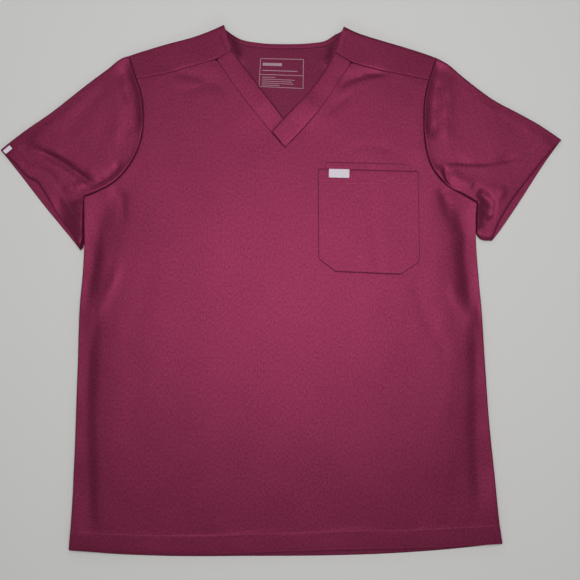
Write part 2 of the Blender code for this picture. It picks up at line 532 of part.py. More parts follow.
def make_sleeve_tab(stations, around, surface):
    """The woven tab at the cuff, made from the sleeve's own points, moved out."""
    lengthwise = TAB_ALONG[0] + (TAB_ALONG[1] - TAB_ALONG[0]) * even(3)
    crosswise = TAB_ROUND[0] + (TAB_ROUND[1] - TAB_ROUND[0]) * even(3)
    rows = np.array([[np.interp(lengthwise, stations, surface[:, column, axis]) for axis in range(3)]
                     for column in range(surface.shape[1])])
    points = np.array([[np.interp(crosswise, around, rows[:, axis, place]) for axis in range(3)]
                       for place in range(len(lengthwise))]).swapaxes(1, 2)
    flat_piece("sleeve_tab", points[..., :2], points[..., 2] + SEAM_GAP, LABEL_WALL, LABEL_COLOUR)


def main():
    for existing in list(bpy.data.objects):
        bpy.data.objects.remove(existing)
    make_back()
    make_front()
    make_neck_bands()
    make_neck_facing()
    make_pockets()
    make_sleeve("right", SLEEVE_TOP_RIGHT, SLEEVE_UNDER_RIGHT, CUFF_FRONT_RIGHT, CUFF_REAR_RIGHT)
    left_surface = make_sleeve("left", SLEEVE_TOP_LEFT, SLEEVE_UNDER_LEFT, CUFF_FRONT_LEFT, CUFF_REAR_LEFT)
    make_sleeve_tab(*left_surface)


main()
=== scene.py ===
from collections import namedtuple
import math

import bpy
import numpy as np
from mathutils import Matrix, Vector
from mathutils.bvhtree import BVHTree


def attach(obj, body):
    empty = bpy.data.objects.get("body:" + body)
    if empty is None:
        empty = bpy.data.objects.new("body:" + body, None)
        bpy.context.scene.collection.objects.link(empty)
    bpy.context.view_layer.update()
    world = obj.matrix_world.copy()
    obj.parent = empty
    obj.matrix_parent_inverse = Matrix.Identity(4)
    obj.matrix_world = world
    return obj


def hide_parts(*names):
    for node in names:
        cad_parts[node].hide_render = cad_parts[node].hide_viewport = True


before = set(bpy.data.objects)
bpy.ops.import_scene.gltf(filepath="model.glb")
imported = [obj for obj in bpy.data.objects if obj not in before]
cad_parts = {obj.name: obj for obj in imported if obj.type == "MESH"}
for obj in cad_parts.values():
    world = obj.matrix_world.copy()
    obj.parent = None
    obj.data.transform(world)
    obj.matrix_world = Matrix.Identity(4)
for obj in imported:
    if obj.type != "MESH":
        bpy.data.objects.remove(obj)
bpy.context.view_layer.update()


# ---------------------------------------------------------------------------------------------------
# Floor, lights and camera. The floor is plain pale board. A long soft light hangs over the garment,
# with weak soft lights round it, and the camera looks down from above the chest.

FLOOR_COLOUR = (0.56, 0.555, 0.545, 1.0)
FLOOR_SIZE = 6
FLOOR_LEVEL = -0.0003       # a hair below the cloth
ROOM_COLOUR = (0.95, 0.97, 1.0, 1.0)
ROOM_STRENGTH = 0.15
CAMERA_PLACE = (0.0124, -0.0975, 0.9932)
CAMERA_TILT = math.radians(5)
CAMERA_ANGLE = math.radians(44)

bpy.ops.object.select_all(action="DESELECT")
bpy.ops.mesh.primitive_plane_add(size=FLOOR_SIZE, location=(0, 0, FLOOR_LEVEL))
floor = bpy.context.object
floor.name = "floor"
floor_finish = bpy.data.materials.new("pale_board")
floor_finish.use_nodes = True
floor_shader = floor_finish.node_tree.nodes["Principled BSDF"]
floor_shader.inputs["Base Color"].default_value = FLOOR_COLOUR
floor_shader.inputs["Roughness"].default_value = 0.9
floor_shader.inputs["Specular IOR Level"].default_value = 0.1
floor.data.materials.append(floor_finish)

SoftLight = namedtuple("SoftLight", "name place aim width length watts")
LIGHTS = (
    SoftLight("over_chest", (0.057, 0.15, 1.6), (0.057, 0.15, 0.0), 1.0, 0.88, 16.8),
    SoftLight("from_neck", (-0.5, 2.00, 1.1), (0.0, 0.1, 0.0), 0.8, 0.6, 5.0),
    SoftLight("from_hem", (0.2, -2.00, 1.1), (0.0, 0.1, 0.0), 0.7, 0.5, 8.0),
    SoftLight("from_left", (-2.2, -0.2, 1.3), (0.0, 0.0, 0.0), 0.8, 0.8, 1.8),
    SoftLight("from_right", (2.2, -0.1, 1.3), (0.0, 0.0, 0.0), 0.8, 0.8, 1.8),
    SoftLight("over_left_sleeve", (-0.78, 0.7, 1.5), (-0.3, 0.2, 0.0), 0.5, 0.5, 2.6),
    SoftLight("over_right_sleeve", (0.78, 0.7, 1.5), (0.3, 0.2, 0.0), 0.5, 0.5, 2.6),
)
for light in LIGHTS:
    lamp = bpy.data.lights.new(light.name, "AREA")
    lamp.shape = "RECTANGLE"
    lamp.size, lamp.size_y, lamp.energy = light.width, light.length, light.watts
    holder = bpy.data.objects.new(light.name, lamp)
    holder.location = light.place
    holder.rotation_euler = (Vector(light.aim) - Vector(light.place)).to_track_quat("-Z", "Y").to_euler()
    holder.visible_camera = False
    bpy.context.scene.collection.objects.link(holder)

room = bpy.data.worlds.new("pale_room")
room.use_nodes = True
room_glow = room.node_tree.nodes["Background"]
room_glow.inputs["Color"].default_value = ROOM_COLOUR
room_glow.inputs["Strength"].default_value = ROOM_STRENGTH
bpy.context.scene.world = room
bpy.context.scene.view_settings.view_transform = "Standard"

camera = bpy.data.objects.new("camera", bpy.data.cameras.new("camera"))
camera.data.angle = CAMERA_ANGLE
camera.location = CAMERA_PLACE
camera.rotation_euler = (CAMERA_TILT, 0, 0)
bpy.context.scene.collection.objects.link(camera)
bpy.context.scene.camera = camera


# ---------------------------------------------------------------------------------------------------
# Back panel. One layer of soft maroon twill that lies on the floor, cut in one with its shoulders,
# which fold forward over the shoulder line and are sewn to the front at the forward seams.

WALL = 0.0012               # one layer of cloth
SEAM_GAP = 0.0003           # between pieces that lie on each other
SEAM_OPENING = 0.0001       # between pieces that meet at a seam
LAYER = WALL + SEAM_GAP     # underside of a layer that lies on the rear layer
LOFT = 0.0055               # how far the front stands off the back
SIDE_ROLL = 0.0013          # width over which it comes down to a side
HEM_ROLL = 0.004            # and to a hem or cuff
SHOULDER_FOLD = 0.0028      # radius of the shoulder fold at the armhole
NECK_FOLD = 0.0058          # and at the neck, where it stands open

# Corners of the outline as it lies: (x, y)
HEM_LEFT = (-0.2845, -0.3616)
HEM_RIGHT = (0.2978, -0.353)
UNDERARM_LEFT = (-0.276, 0.12)
UNDERARM_RIGHT = (0.274, 0.1115)
SHOULDER_LEFT = (-0.2178, 0.3238)
SHOULDER_RIGHT = (0.2216, 0.3206)
NECK_LEFT = (-0.0815, 0.3672)
NECK_RIGHT = (0.0888, 0.365)
SEAM_LEFT = (-0.2064, 0.289)        # outer ends of the forward shoulder seams
SEAM_RIGHT = (0.21, 0.2867)
BAND_LEFT = (-0.0916, 0.3166)       # where the seams meet the outer edges of the neck bands
BAND_RIGHT = (0.0993, 0.3122)
BAND_LEFT_INNER = (-0.0703, 0.3299)  # and their inner edges
BAND_RIGHT_INNER = (0.0766, 0.3269)

# Edge curves, through the points between their corners
SIDE_LEFT = (HEM_LEFT, (-0.2828, -0.335), (-0.2803, -0.25), (-0.279, -0.12), (-0.2776, -0.025),
             (-0.2746, 0.03), (-0.2746, 0.078), UNDERARM_LEFT)
SIDE_RIGHT = (HEM_RIGHT, (0.2952, -0.335), (0.2896, -0.265), (0.2836, -0.19), (0.2798, -0.108),
              (0.2762, -0.0254), (0.2728, 0.03), (0.2715, 0.065), (0.272, 0.09), UNDERARM_RIGHT)
ARMHOLE_LEFT = (UNDERARM_LEFT, (-0.2608, 0.1256), (-0.2331, 0.1413), (-0.2098, 0.1699), (-0.1977, 0.2016),
                (-0.1955, 0.24), (-0.1989, 0.2668), SEAM_LEFT)
ARMHOLE_RIGHT = (UNDERARM_RIGHT, (0.2576, 0.1213), (0.2327, 0.1356), (0.2121, 0.1613), (0.2035, 0.1943),
                 (0.2019, 0.23), (0.2046, 0.2639), SEAM_RIGHT)
FRONT_HEM = (HEM_LEFT, (-0.232, -0.3648), (-0.1044, -0.3667), (-0.001, -0.3637), (0.0917, -0.3607),
             (0.1831, -0.3588), (0.2612, -0.3552), HEM_RIGHT)
REAR_HEM = (HEM_LEFT, (-0.2322, -0.3664), (-0.1677, -0.3692), (-0.0319, -0.3696), (0.0669, -0.3688),
            (0.1341, -0.3668), (0.2358, -0.3598), HEM_RIGHT)
SHOULDER_FOLD_LEFT = (SHOULDER_LEFT, (-0.2017, 0.3293), (-0.1636, 0.341), (-0.1229, 0.3519),
                      (-0.0949, 0.3622), NECK_LEFT)
SHOULDER_FOLD_RIGHT = (SHOULDER_RIGHT, (0.2055, 0.3268), (0.1774, 0.336), (0.142, 0.3464), (0.1061, 0.3578),
                       NECK_RIGHT)
SHOULDER_SEAM_LEFT = (SEAM_LEFT, (-0.1724, 0.2946), (-0.1299, 0.3063), BAND_LEFT)
SHOULDER_SEAM_RIGHT = (SEAM_RIGHT, (0.1831, 0.2931), (0.1405, 0.3012), BAND_RIGHT)
REAR_NECK = ((-0.0692, 0.3549), (-0.0577, 0.3493), (-0.0336, 0.3443), (0.0053, 0.3423), (0.0417, 0.3437),
             (0.0622, 0.3469), (0.076, 0.3549))
V_POINT = (0.0054, 0.1886)  # point of the V, on the seam of the bands
V_LEFT = (BAND_LEFT, (-0.05, 0.2565), V_POINT)
V_RIGHT = (BAND_RIGHT, (0.0521, 0.2406), V_POINT)

# Folds and creases, each through its points; a hollow has a negative height. The first width is on the
# left of its path and the second on the right.
Fold = namedtuple("Fold", "path widths height")
BODY_FOLDS = (
    # hollows and swells beside the two sides
    Fold(((-0.24, 0.133), (-0.244, 0.1), (-0.2535, 0.0728), (-0.2584, 0.0447), (-0.2619, 0.0168),
          (-0.2667, -0.011), (-0.2758, -0.042)), (0.0095, 0.03), -0.004),
    Fold(((-0.229, 0.142), (-0.2344, 0.094), (-0.2408, 0.0658), (-0.249, 0.035)), (0.016, 0.006), -0.0014),
    Fold(((-0.248, -0.04), (-0.256, -0.064), (-0.2615, -0.0937), (-0.2627, -0.1209), (-0.2627, -0.1751),
          (-0.2614, -0.2287), (-0.2577, -0.2686), (-0.257, -0.31), (-0.248, -0.35)), (0.008, 0.03),
         -0.0028),
    Fold(((-0.208, 0.08), (-0.226, -0.12), (-0.218, -0.3)), (0.02, 0.02), 0.0005),
    Fold(((0.23, 0.133), (0.24, 0.106), (0.2505, 0.0869), (0.2586, 0.0588), (0.2592, 0.0308),
          (0.2613, 0.0029), (0.2642, -0.0249), (0.2735, -0.048)), (0.03, 0.012), -0.0052),
    Fold(((0.218, 0.14), (0.234, 0.0841), (0.244, 0.0518), (0.25, 0.02), (0.256, -0.02)), (0.006, 0.016),
         -0.0007),
    Fold(((0.264, -0.038), (0.2679, -0.08), (0.2667, -0.1345), (0.2655, -0.1886), (0.2653, -0.2554),
          (0.27, -0.32)), (0.03, 0.009), -0.0022),
    Fold(((0.212, 0.05), (0.229, -0.12), (0.224, -0.3)), (0.02, 0.02), 0.0005),
    # streaks of raised cloth between the hollows, and tucks in at the sides
    Fold(((-0.2205, 0.028), (-0.2363, -0.011), (-0.2523, -0.0387), (-0.2711, -0.058)), (0.005, 0.007),
         0.0012),
    Fold(((-0.279, -0.0428), (-0.2662, -0.0456), (-0.2495, -0.0373)), (0.0034, 0.0024), -0.0018),
    Fold(((0.2309, -0.0041), (0.2442, -0.0304), (0.2576, -0.0497), (0.2751, -0.0662)), (0.007, 0.005),
         0.0011),
    Fold(((0.2611, -0.029), (0.269, -0.036), (0.277, -0.0455)), (0.0024, 0.0034), -0.0015),
    Fold(((-0.2235, 0.128), (-0.22, 0.105), (-0.223, 0.079)), (0.0045, 0.008), -0.0009),
    Fold(((0.2195, 0.134), (0.229, 0.113), (0.233, 0.086)), (0.008, 0.0045), -0.0009),
    # at the armholes and the chest
    Fold(((-0.2, 0.295), (-0.185, 0.225), (-0.2, 0.16)), (0.014, 0.01), 0.0005),
    Fold(((0.201, 0.295), (0.19, 0.225), (0.202, 0.16)), (0.01, 0.014), 0.0005),
    Fold(((0.079, 0.2795), (0.0968, 0.2854), (0.1138, 0.291), (0.1282, 0.295), (0.148, 0.2965)),
         (0.0085, 0.003), -0.0018),
    Fold(((0.068, 0.244), (0.08, 0.252), (0.1, 0.26)), (0.008, 0.004), -0.0009),
    Fold(((-0.158, 0.3), (-0.115, 0.29), (-0.07, 0.272)), (0.009, 0.006), -0.0009),
    Fold(((0.181, -0.004), (0.194, -0.039), (0.212, -0.073), (0.232, -0.114)), (0.008, 0.005), -0.0007),
    Fold(((0.148, -0.011), (0.153, -0.046), (0.147, -0.066)), (0.006, 0.006), -0.0004),
    Fold(((0.09, 0.187), (0.132, 0.191), (0.16, 0.184)), (0.006, 0.006), -0.0003),
    Fold(((-0.15, 0.266), (-0.115, 0.276), (-0.08, 0.276)), (0.006, 0.006), -0.0004),
    Fold(((-0.187, 0.314), (-0.151, 0.308)), (0.006, 0.006), -0.0004),
    Fold(((0.125, 0.165), (0.127, 0.101), (0.135, 0.031), (0.142, -0.011), (0.15, -0.052)), (0.005, 0.007),
         -0.0003),
)
# The neck stands open: the cloth rises beside it, most at the shoulder folds
NECK_STANDS = (
    Fold(((-0.104, 0.41), (-0.089, 0.3672), (-0.08, 0.324), (-0.042, 0.271), (-0.006, 0.225)),
         (0.035, 0.042), 0.0022),
    Fold(((0.112, 0.408), (0.096, 0.365), (0.087, 0.32), (0.05, 0.266), (0.013, 0.225)), (0.042, 0.035),
         0.0022),
)
# Buckles of the rear layer, up off the floor
BUCKLES = (
    Fold(((-0.23, 0.15), (-0.25, 0.02), (-0.24, -0.16), (-0.252, -0.32)), (0.014, 0.009), 0.0009),
    Fold(((0.215, 0.16), (0.246, 0.03), (0.238, -0.14), (0.25, -0.31)), (0.01, 0.015), 0.0009),
    Fold(((-0.12, 0.24), (-0.1, 0.06), (-0.128, -0.14)), (0.016, 0.012), 0.0006),
    Fold(((0.11, 0.25), (0.092, 0.09), (0.118, -0.1), (0.1, -0.28)), (0.012, 0.018), 0.0006),
    Fold(((-0.01, 0.06), (0.006, -0.12), (-0.012, -0.3)), (0.02, 0.014), 0.0005),
    Fold(((-0.26, 0.24), (-0.3, 0.19), (-0.35, 0.168)), (0.01, 0.008), 0.0008),
    Fold(((0.262, 0.236), (0.3, 0.196), (0.352, 0.18)), (0.008, 0.012), 0.0008),
)
# The rear layer rises to the shoulder folds at the neck
NECK_RISES = (
    Fold(((-0.086, 0.39), (-0.081, 0.365), (-0.0745, 0.342), (-0.068, 0.324), (-0.06, 0.31)),
         (0.0085, 0.013), 0.0068),
    Fold(((0.0935, 0.388), (0.0885, 0.363), (0.0815, 0.34), (0.0745, 0.321), (0.066, 0.307)),
         (0.013, 0.0085), 0.0068),
)

FOLD_END = 0.2              # share of a fold's length over which each of its ends dies away
FOLD_SAMPLES = 16           # straight runs of a fold's path, while distances to it are measured
EDGE_SAMPLES = 60           # and of an edge curve
CURVE_STEPS = 40            # for each stretch of a curve, while it is measured
SEAM_STEPS = (0.0008, 0.001, 0.0013, 0.0018, 0.0025, 0.0032)  # of the grid, away from a sewn edge
HEM_STEPS = (0.0008, 0.001, 0.0013, 0.0018, 0.003, 0.004, 0.0045, 0.004, 0.0025, 0.0012, 0.0008,
             0.0008, 0.0008, 0.0012, 0.0025, 0.0035)    # and from a hem, fine at its stitches
HEM_DEPTH = 0.0258          # from the edge to the hem's stitches
HEM_RISE = 0.0003           # a turned-up hem lifts the cloth
SEAM_PUCKER = 0.0001        # height of the puckers that a seam pulls
BODY_STEP = 0.009           # rows of the back's grid
BACK_STEP = 0.0075          # and columns across its shoulders
NECK_COLUMNS = 24           # and along its neck edge
SIDE_LENGTH = 0.482         # of a side, from hem to underarm
ROUND_POINTS = 11           # from the bottom to the top of a folded edge
STITCH_ROOM = (0.0003, 0.001)       # the back rises over its hem's stitches: height and half its width
CORNER_STEPS = (0.0008, 0.0016, 0.0032)  # to both sides of an underarm corner


def even(steps):
    """Shares 0 to 1 in equal steps."""
    return np.linspace(0, 1, steps + 1)


def shares_of(steps):
    """Shares 0 to 1 in the given steps."""
    return np.concatenate([[0], np.cumsum(steps)]) / sum(steps)


def ease(share):
    """A smooth step from 0 to 1."""
    share = np.clip(share, 0, 1)
    return share * share * (3 - 2 * share)


def steps_over(length, step, first=(), last=()):
    """Steps along a length, small at one or both ends."""
    middle = length - sum(first) - sum(last)
    count = max(1, round(middle / step))
    return list(first) + [middle / count] * count + list(last[::-1])


def travelled(points):
    """How far along a path each of its points is."""
    return np.concatenate([[0], np.cumsum(np.linalg.norm(np.diff(points, axis=0), axis=1))])


def along(points, shares):
    """Points at the given shares of the length of a path of straight runs."""
    points = np.array(points, float)
    reached = travelled(points)
    wanted = np.asarray(shares) * reached[-1]
    return np.stack([np.interp(wanted, reached, values) for values in points.T], axis=1)


def curve(knots, shares):
    """Points at the given shares of the length of a smooth curve through the knots."""
    knots = np.array(knots, float)
    chords = np.linalg.norm(np.diff(knots, axis=0), axis=1)
    reached = travelled(knots)
    slopes = np.gradient(knots, reached, axis=0)
    fine = np.linspace(0, reached[-1], CURVE_STEPS * len(chords) + 1)
    piece = np.clip(np.searchsorted(reached, fine, side="right") - 1, 0, len(chords) - 1)
    chord = chords[piece][:, None]
    t = (fine[:, None] - reached[piece][:, None]) / chord
    path = ((2 * t**3 - 3 * t**2 + 1) * knots[piece] + (t**3 - 2 * t**2 + t) * chord * slopes[piece]
            + (3 * t**2 - 2 * t**3) * knots[piece + 1] + (t**3 - t**2) * chord * slopes[piece + 1])
    return along(path, shares)


def unit(vectors):
    """The vectors, each made 1 long."""
    return vectors / np.linalg.norm(vectors, axis=-1, keepdims=True)


def patch(bottom, top, left, right, fade=1):
    """Fill four edges with a grid of points, rows from bottom to top. Left and right run upwards.

    Rows are straight, plus what the bottom and top edges bend from straight, less the further away.
    """
    left, right = left.copy(), right.copy()
    left[0], left[-1], right[0], right[-1] = bottom[0], top[0], bottom[-1], top[-1]
    u = shares_of(np.linalg.norm(np.diff(bottom, axis=0), axis=1))[:, None]
    v = shares_of(np.linalg.norm(np.diff(left, axis=0), axis=1))[:, None, None]
    rows = (1 - u) * left[:, None] + u * right[:, None]
    return rows + (1 - v) ** fade * (bottom - rows[0]) + v ** fade * (top - rows[-1])


def across(line, beside):
    """Directions in plan across a line of points, away from the points beside it."""
    run = unit(np.gradient(line, axis=0))
    turned = np.stack([run[:, 1], -run[:, 0]], axis=1)
    return turned * np.sign((turned * (line - beside)).sum())


def drawn_back(grid, edges="bottom top left right"):
    """The grid with its edges moved in by half the seam opening, so that neighbours stand apart."""
    places = {"bottom": (0, 1, 0), "top": (-1, -2, 0), "left": (0, 1, 1), "right": (-1, -2, 1)}
    moved = grid.copy()
    for edge in edges.split():
        at, beside, axis = places[edge]
        step = across(np.take(grid, at, axis), np.take(grid, beside, axis)) * SEAM_OPENING / 2
        if axis == 0:
            moved[at] -= step
        else:
            moved[:, at] -= step
    return moved


def nearest(points, path):
    """Distance of each point to a path of straight runs, positive on its left, and how far along the
    path the nearest place is, as a share of its length."""
    starts, runs = path[:-1], np.diff(path, axis=0)
    lengths = np.linalg.norm(runs, axis=1)
    reached = np.concatenate([[0], np.cumsum(lengths)])
    offsets = points[..., None, :] - starts
    part = np.clip((offsets * runs).sum(axis=-1) / lengths**2, 0, 1)
    distances = np.linalg.norm(offsets - part[..., None] * runs, axis=-1)
    closest = distances.argmin(axis=-1)
    pick = np.take_along_axis(part, closest[..., None], axis=-1)[..., 0]
    offset = np.take_along_axis(offsets, closest[..., None, None], axis=-2)[..., 0, :]
    side = np.sign(runs[closest, 0] * offset[..., 1] - runs[closest, 1] * offset[..., 0])
    share = (reached[closest] + pick * lengths[closest]) / reached[-1]
    return distances.min(axis=-1) * np.where(side < 0, -1, 1), share


def folded(points, folds, unevenness=0.25):
    """Sum of the heights of a table of folds at points (x, y). Each one swells and thins on its way."""
    total = np.zeros(points.shape[:-1])
    for number, fold in enumerate(folds):
        path = curve(fold.path, even(FOLD_SAMPLES))
        distance, share = nearest(points, path)
        width = np.where(distance > 0, fold.widths[0], fold.widths[1])
        fade = ease(share / FOLD_END) * ease((1 - share) / FOLD_END)
        swell = 1 + unevenness * np.sin(9.1 * share + 2.3 * number) * np.cos(17.0 * share + number)
        total += fold.height * fade * swell * np.exp(-(distance / width) ** 2)
    return total


def ripple(place, number):
    """An uneven ripple between -1 and 1 along a path, for the puckers that a row of stitches pulls."""
    return (np.sin(place / 0.0011 + 1.7 * number) + 0.8 * np.sin(place / 0.0019 + 4.1 * number)
            + 0.6 * np.sin(place / 0.0043 + 2.9 * number)) / 2.4


def edge_line(knots):
    """An edge curve as a path of short straight runs."""
    return curve(knots, even(EDGE_SAMPLES))


# Rows of stitches beside the neck edge, on the shoulders
SHOULDER_STITCHES = (((-0.0908, 0.363), (-0.0787, 0.3327)), ((0.0971, 0.36), (0.0864, 0.3276)))
Seam = namedtuple("Seam", "line dip reach")     # how far the cloth turns down into a seam, and how near it
SEAMS = [Seam(edge_line(knots), dip, reach) for knots, dip, reach in (
    (ARMHOLE_LEFT, 0.002, 0.001), (ARMHOLE_RIGHT, 0.002, 0.001),
    (SHOULDER_SEAM_LEFT, 0.00032, 0.0008), (SHOULDER_SEAM_RIGHT, 0.00032, 0.0008),
    (V_LEFT, 0.00004, 0.0009), (V_RIGHT, 0.00004, 0.0009),
    ((SEAM_LEFT, SHOULDER_LEFT), 0.0016, 0.0011), ((SEAM_RIGHT, SHOULDER_RIGHT), 0.0016, 0.0011),
    *((row, 0.0007, 0.0009) for row in SHOULDER_STITCHES))]
SIDE_LINES = [edge_line(SIDE_LEFT), edge_line(SIDE_RIGHT)]
SIDE_STAND = 0.85           # share of its height that the cloth keeps at a side, where a sleeve lies by it
SIDE_STAND_PLACE = (0.052, 0.02)    # where that starts, and the length over which it comes up
HEM_STAND = 0.22            # share of its height that the upper layer keeps at a hem or cuff
HEM_EASE = (0.0004, 0.0035)         # from the stitches: how far inside them the rise starts, and its width
STITCH_DENT = (0.00012, 0.0008)     # depth and width of the dent of a row of stitches
HEM_ROPE = 0.00016          # height of the slanting ripples that a hem's stitches pull
ROPE_SLANT = 0.6
ROPE_SPREAD = 0.6           # how far they reach, as a share of the hem's depth
PUCKER_SPREAD = 0.007       # and how far a seam's puckers reach
SOFT_LANDING = 0.0003       # how softly a deep hollow meets the rear layer
BUCKLE_LIMIT = 0.4          # the most that a buckle takes of the room under the upper layer

Layer = namedtuple("Layer", "loft folds hems")      # an upper layer; each hem has its edge and its depth
BODY = Layer(LOFT, BODY_FOLDS, [(edge_line(FRONT_HEM), HEM_DEPTH)])


def turned_up(distance, depth):
    """Rise of the cloth over a turned-up hem, with the dent of its row of stitches."""
    return (HEM_RISE * (1 - ease((distance - depth + HEM_EASE[0]) / HEM_EASE[1]))
            - STITCH_DENT[0] * np.exp(-((distance - depth) / STITCH_DENT[1]) ** 2))


def drape(points):
    """The cloth's slow, shallow waves."""
    x, y = points[..., 0], points[..., 1]
    return (0.0003 * np.sin(23 * x + 7 * y + 0.6) * np.cos(17 * y - 9 * x)
            + 0.0002 * np.sin(61 * x - 13 * y + 2.0) * np.cos(11 * y + 20 * x + 1.1)
            + 0.0001 * np.sin(140 * x + 31 * y) * np.sin(90 * y - 45 * x + 0.7)
            + 0.00005 * np.sin(310 * x - 80 * y + 1.0) * np.sin(170 * y + 120 * x + 2.2))


def side_stand(y):
    """The share of its height that the cloth keeps at a side."""
    return SIDE_STAND * ease((y - SIDE_STAND_PLACE[0]) / SIDE_STAND_PLACE[1])


def roll_near(points, lines, width, kept=0.0):
    """The share of its height that the cloth has near its edges: it rolls down over the given width."""
    away = np.min([np.abs(nearest(points, line)[0]) for line in lines], axis=0)
    return kept + (1 - kept) * np.sqrt(1 - (1 - np.clip(away / width, 0, 1)) ** 2)


def groove(points):
    """How far the cloth turns down into the nearest seam."""
    return np.max([seam.dip * np.exp(-(nearest(points, seam.line)[0] / seam.reach) ** 2) for seam in SEAMS],
                  axis=0)


def upper_lift(points, layer=BODY):
    """How far the underside of an upper layer stands off the rear layer at points (x, y)."""
    lift = layer.loft + folded(points, layer.folds) + drape(points)
    if layer is BODY:
        lift = lift + folded(points, NECK_STANDS, 0.0)
    for number, seam in enumerate(SEAMS):
        distance, share = nearest(points, seam.line)
        lift = lift + (SEAM_PUCKER * ripple(share * travelled(seam.line)[-1], number)
                       * np.exp(-(distance / PUCKER_SPREAD) ** 2))
    if layer is BODY:
        lift = lift - groove(points)
    for number, (line, depth) in enumerate(layer.hems):
        distance, share = nearest(points, line)
        away = np.abs(distance)
        rope = HEM_ROPE * ripple(share * travelled(line)[-1] + away * ROPE_SLANT, number + len(SEAMS) - 1)
        lift = lift + turned_up(away, depth) + rope * np.exp(-((away - depth) / (ROPE_SPREAD * depth)) ** 2)
    lift = (lift + np.sqrt(lift * lift + SOFT_LANDING * SOFT_LANDING)) / 2
    roll = roll_near(points, [line for line, depth in layer.hems], HEM_ROLL, HEM_STAND)
    if layer is BODY:
        roll = roll * roll_near(points, SIDE_LINES, SIDE_ROLL, side_stand(points[..., 1]))
    return lift * roll


def upper_height(points, layer=BODY):
    """Height of an upper layer's underside above the floor."""
    return LAYER + upper_lift(points, layer)


def rear_height(points, layer=BODY):
    """Height of the rear layer's underside, below the given layer: on the floor, but for low buckles."""
    rises = folded(points, NECK_RISES) if layer is BODY else 0
    return np.clip(folded(points, BUCKLES), 0, BUCKLE_LIMIT * upper_lift(points, layer)) + rises


def raised(points, heights):
    """Points (x, y) with a height each."""
    return np.concatenate([points, np.broadcast_to(heights, points.shape[:-1])[..., None]], axis=-1)


def fold_arc(edges, directions, radii, angles, reach=None, low=0.0):
    """The outside of a folded edge: a half round of cloth that stands on the floor.

    edges are the outermost points, and directions point outwards from the cloth. An angle of -90
    degrees is at the bottom, which lies low above the floor, and 90 degrees is on top. reach is how
    deep the round is in plan.
    """
    reach = radii if reach is None else reach
    centres = edges - directions * reach[:, None]
    return np.array([raised(centres + directions * (reach * math.cos(angle))[:, None],
                            low + (radii - low / 2) * (1 + math.sin(angle))) for angle in angles])


def quads(index):
    """The four-sided faces of a grid of vertex numbers."""
    corners = index[:-1, :-1], index[:-1, 1:], index[1:, 1:], index[1:, :-1]
    return np.stack(corners, axis=-1).reshape(-1, 4)


def set_sockets(tree, node, sockets):
    """Give each named socket of a node its value, or its link from another node."""
    for name, given in sockets.items():
        if isinstance(given, Value):
            tree.links.new(given.socket, node.inputs[name])
        else:
            node.inputs[name].default_value = given


class Value:
    """A value in a finish, on its way between nodes. Sums of values are written as Python's own."""

    def __init__(self, tree, socket):
        self.tree, self.socket = tree, socket

    def node(self, kind, settings, sockets, output=0):
        """Add a node, set it, and give its sockets values or links. Returns one of its outputs."""
        made = self.tree.nodes.new(kind)
        for name, setting in settings.items():
            if name == "stops":
                for stop, (place, colour) in zip(made.color_ramp.elements, setting):
                    stop.position, stop.color = place, colour
            else:
                setattr(made, name, setting)
        set_sockets(self.tree, made, sockets)
        return Value(self.tree, made.outputs[output])

    def sum(self, operation, first, second):
        """One Math node."""
        return self.node("ShaderNodeMath", {"operation": operation}, {0: first, 1: second})

    def __add__(self, other):
        return self.sum("ADD", self, other)

    def __radd__(self, other):
        return self.sum("ADD", other, self)

    def __mul__(self, other):
        return self.sum("MULTIPLY", self, other)

    def __rmul__(self, other):
        return self.sum("MULTIPLY", other, self)

    def mixed(self, colour, other):
        """One colour where this value is 0, and the other where it is 1."""
        return self.node("ShaderNodeMix", {"data_type": "RGBA"}, {0: self, 6: colour, 7: other}, 2)

    def scatter(self, place, size, detail=2.0):
        """Soft random spots of about the given size."""
        return self.node("ShaderNodeTexNoise", {}, {"Vector": place, "Scale": 0.5 / size, "Detail": detail})

    def stretched(self, place, scale):
        """The place, scaled along each axis."""
        return self.node("ShaderNodeMapping", {}, {"Vector": place, "Scale": scale})


def finish(name, weave=False):
    """A material, the start of its values, and the place on the cloth: on its weave, or in space."""
    made = bpy.data.materials.new(name)
    made.use_nodes = True
    start = Value(made.node_tree, None)
    if weave:
        return made, start, start.node("ShaderNodeUVMap", {"uv_map": "weave"}, {})
    return made, start, start.node("ShaderNodeTexCoord", {}, {}, "Object")


def finished(made, sockets):
    """The material, once the sockets of its shader have their values."""
    set_sockets(made.node_tree, made.node_tree.nodes["Principled BSDF"], sockets)
    return made


TWILL_TINT = (0.62, 0.14, 0.28, 1.0)


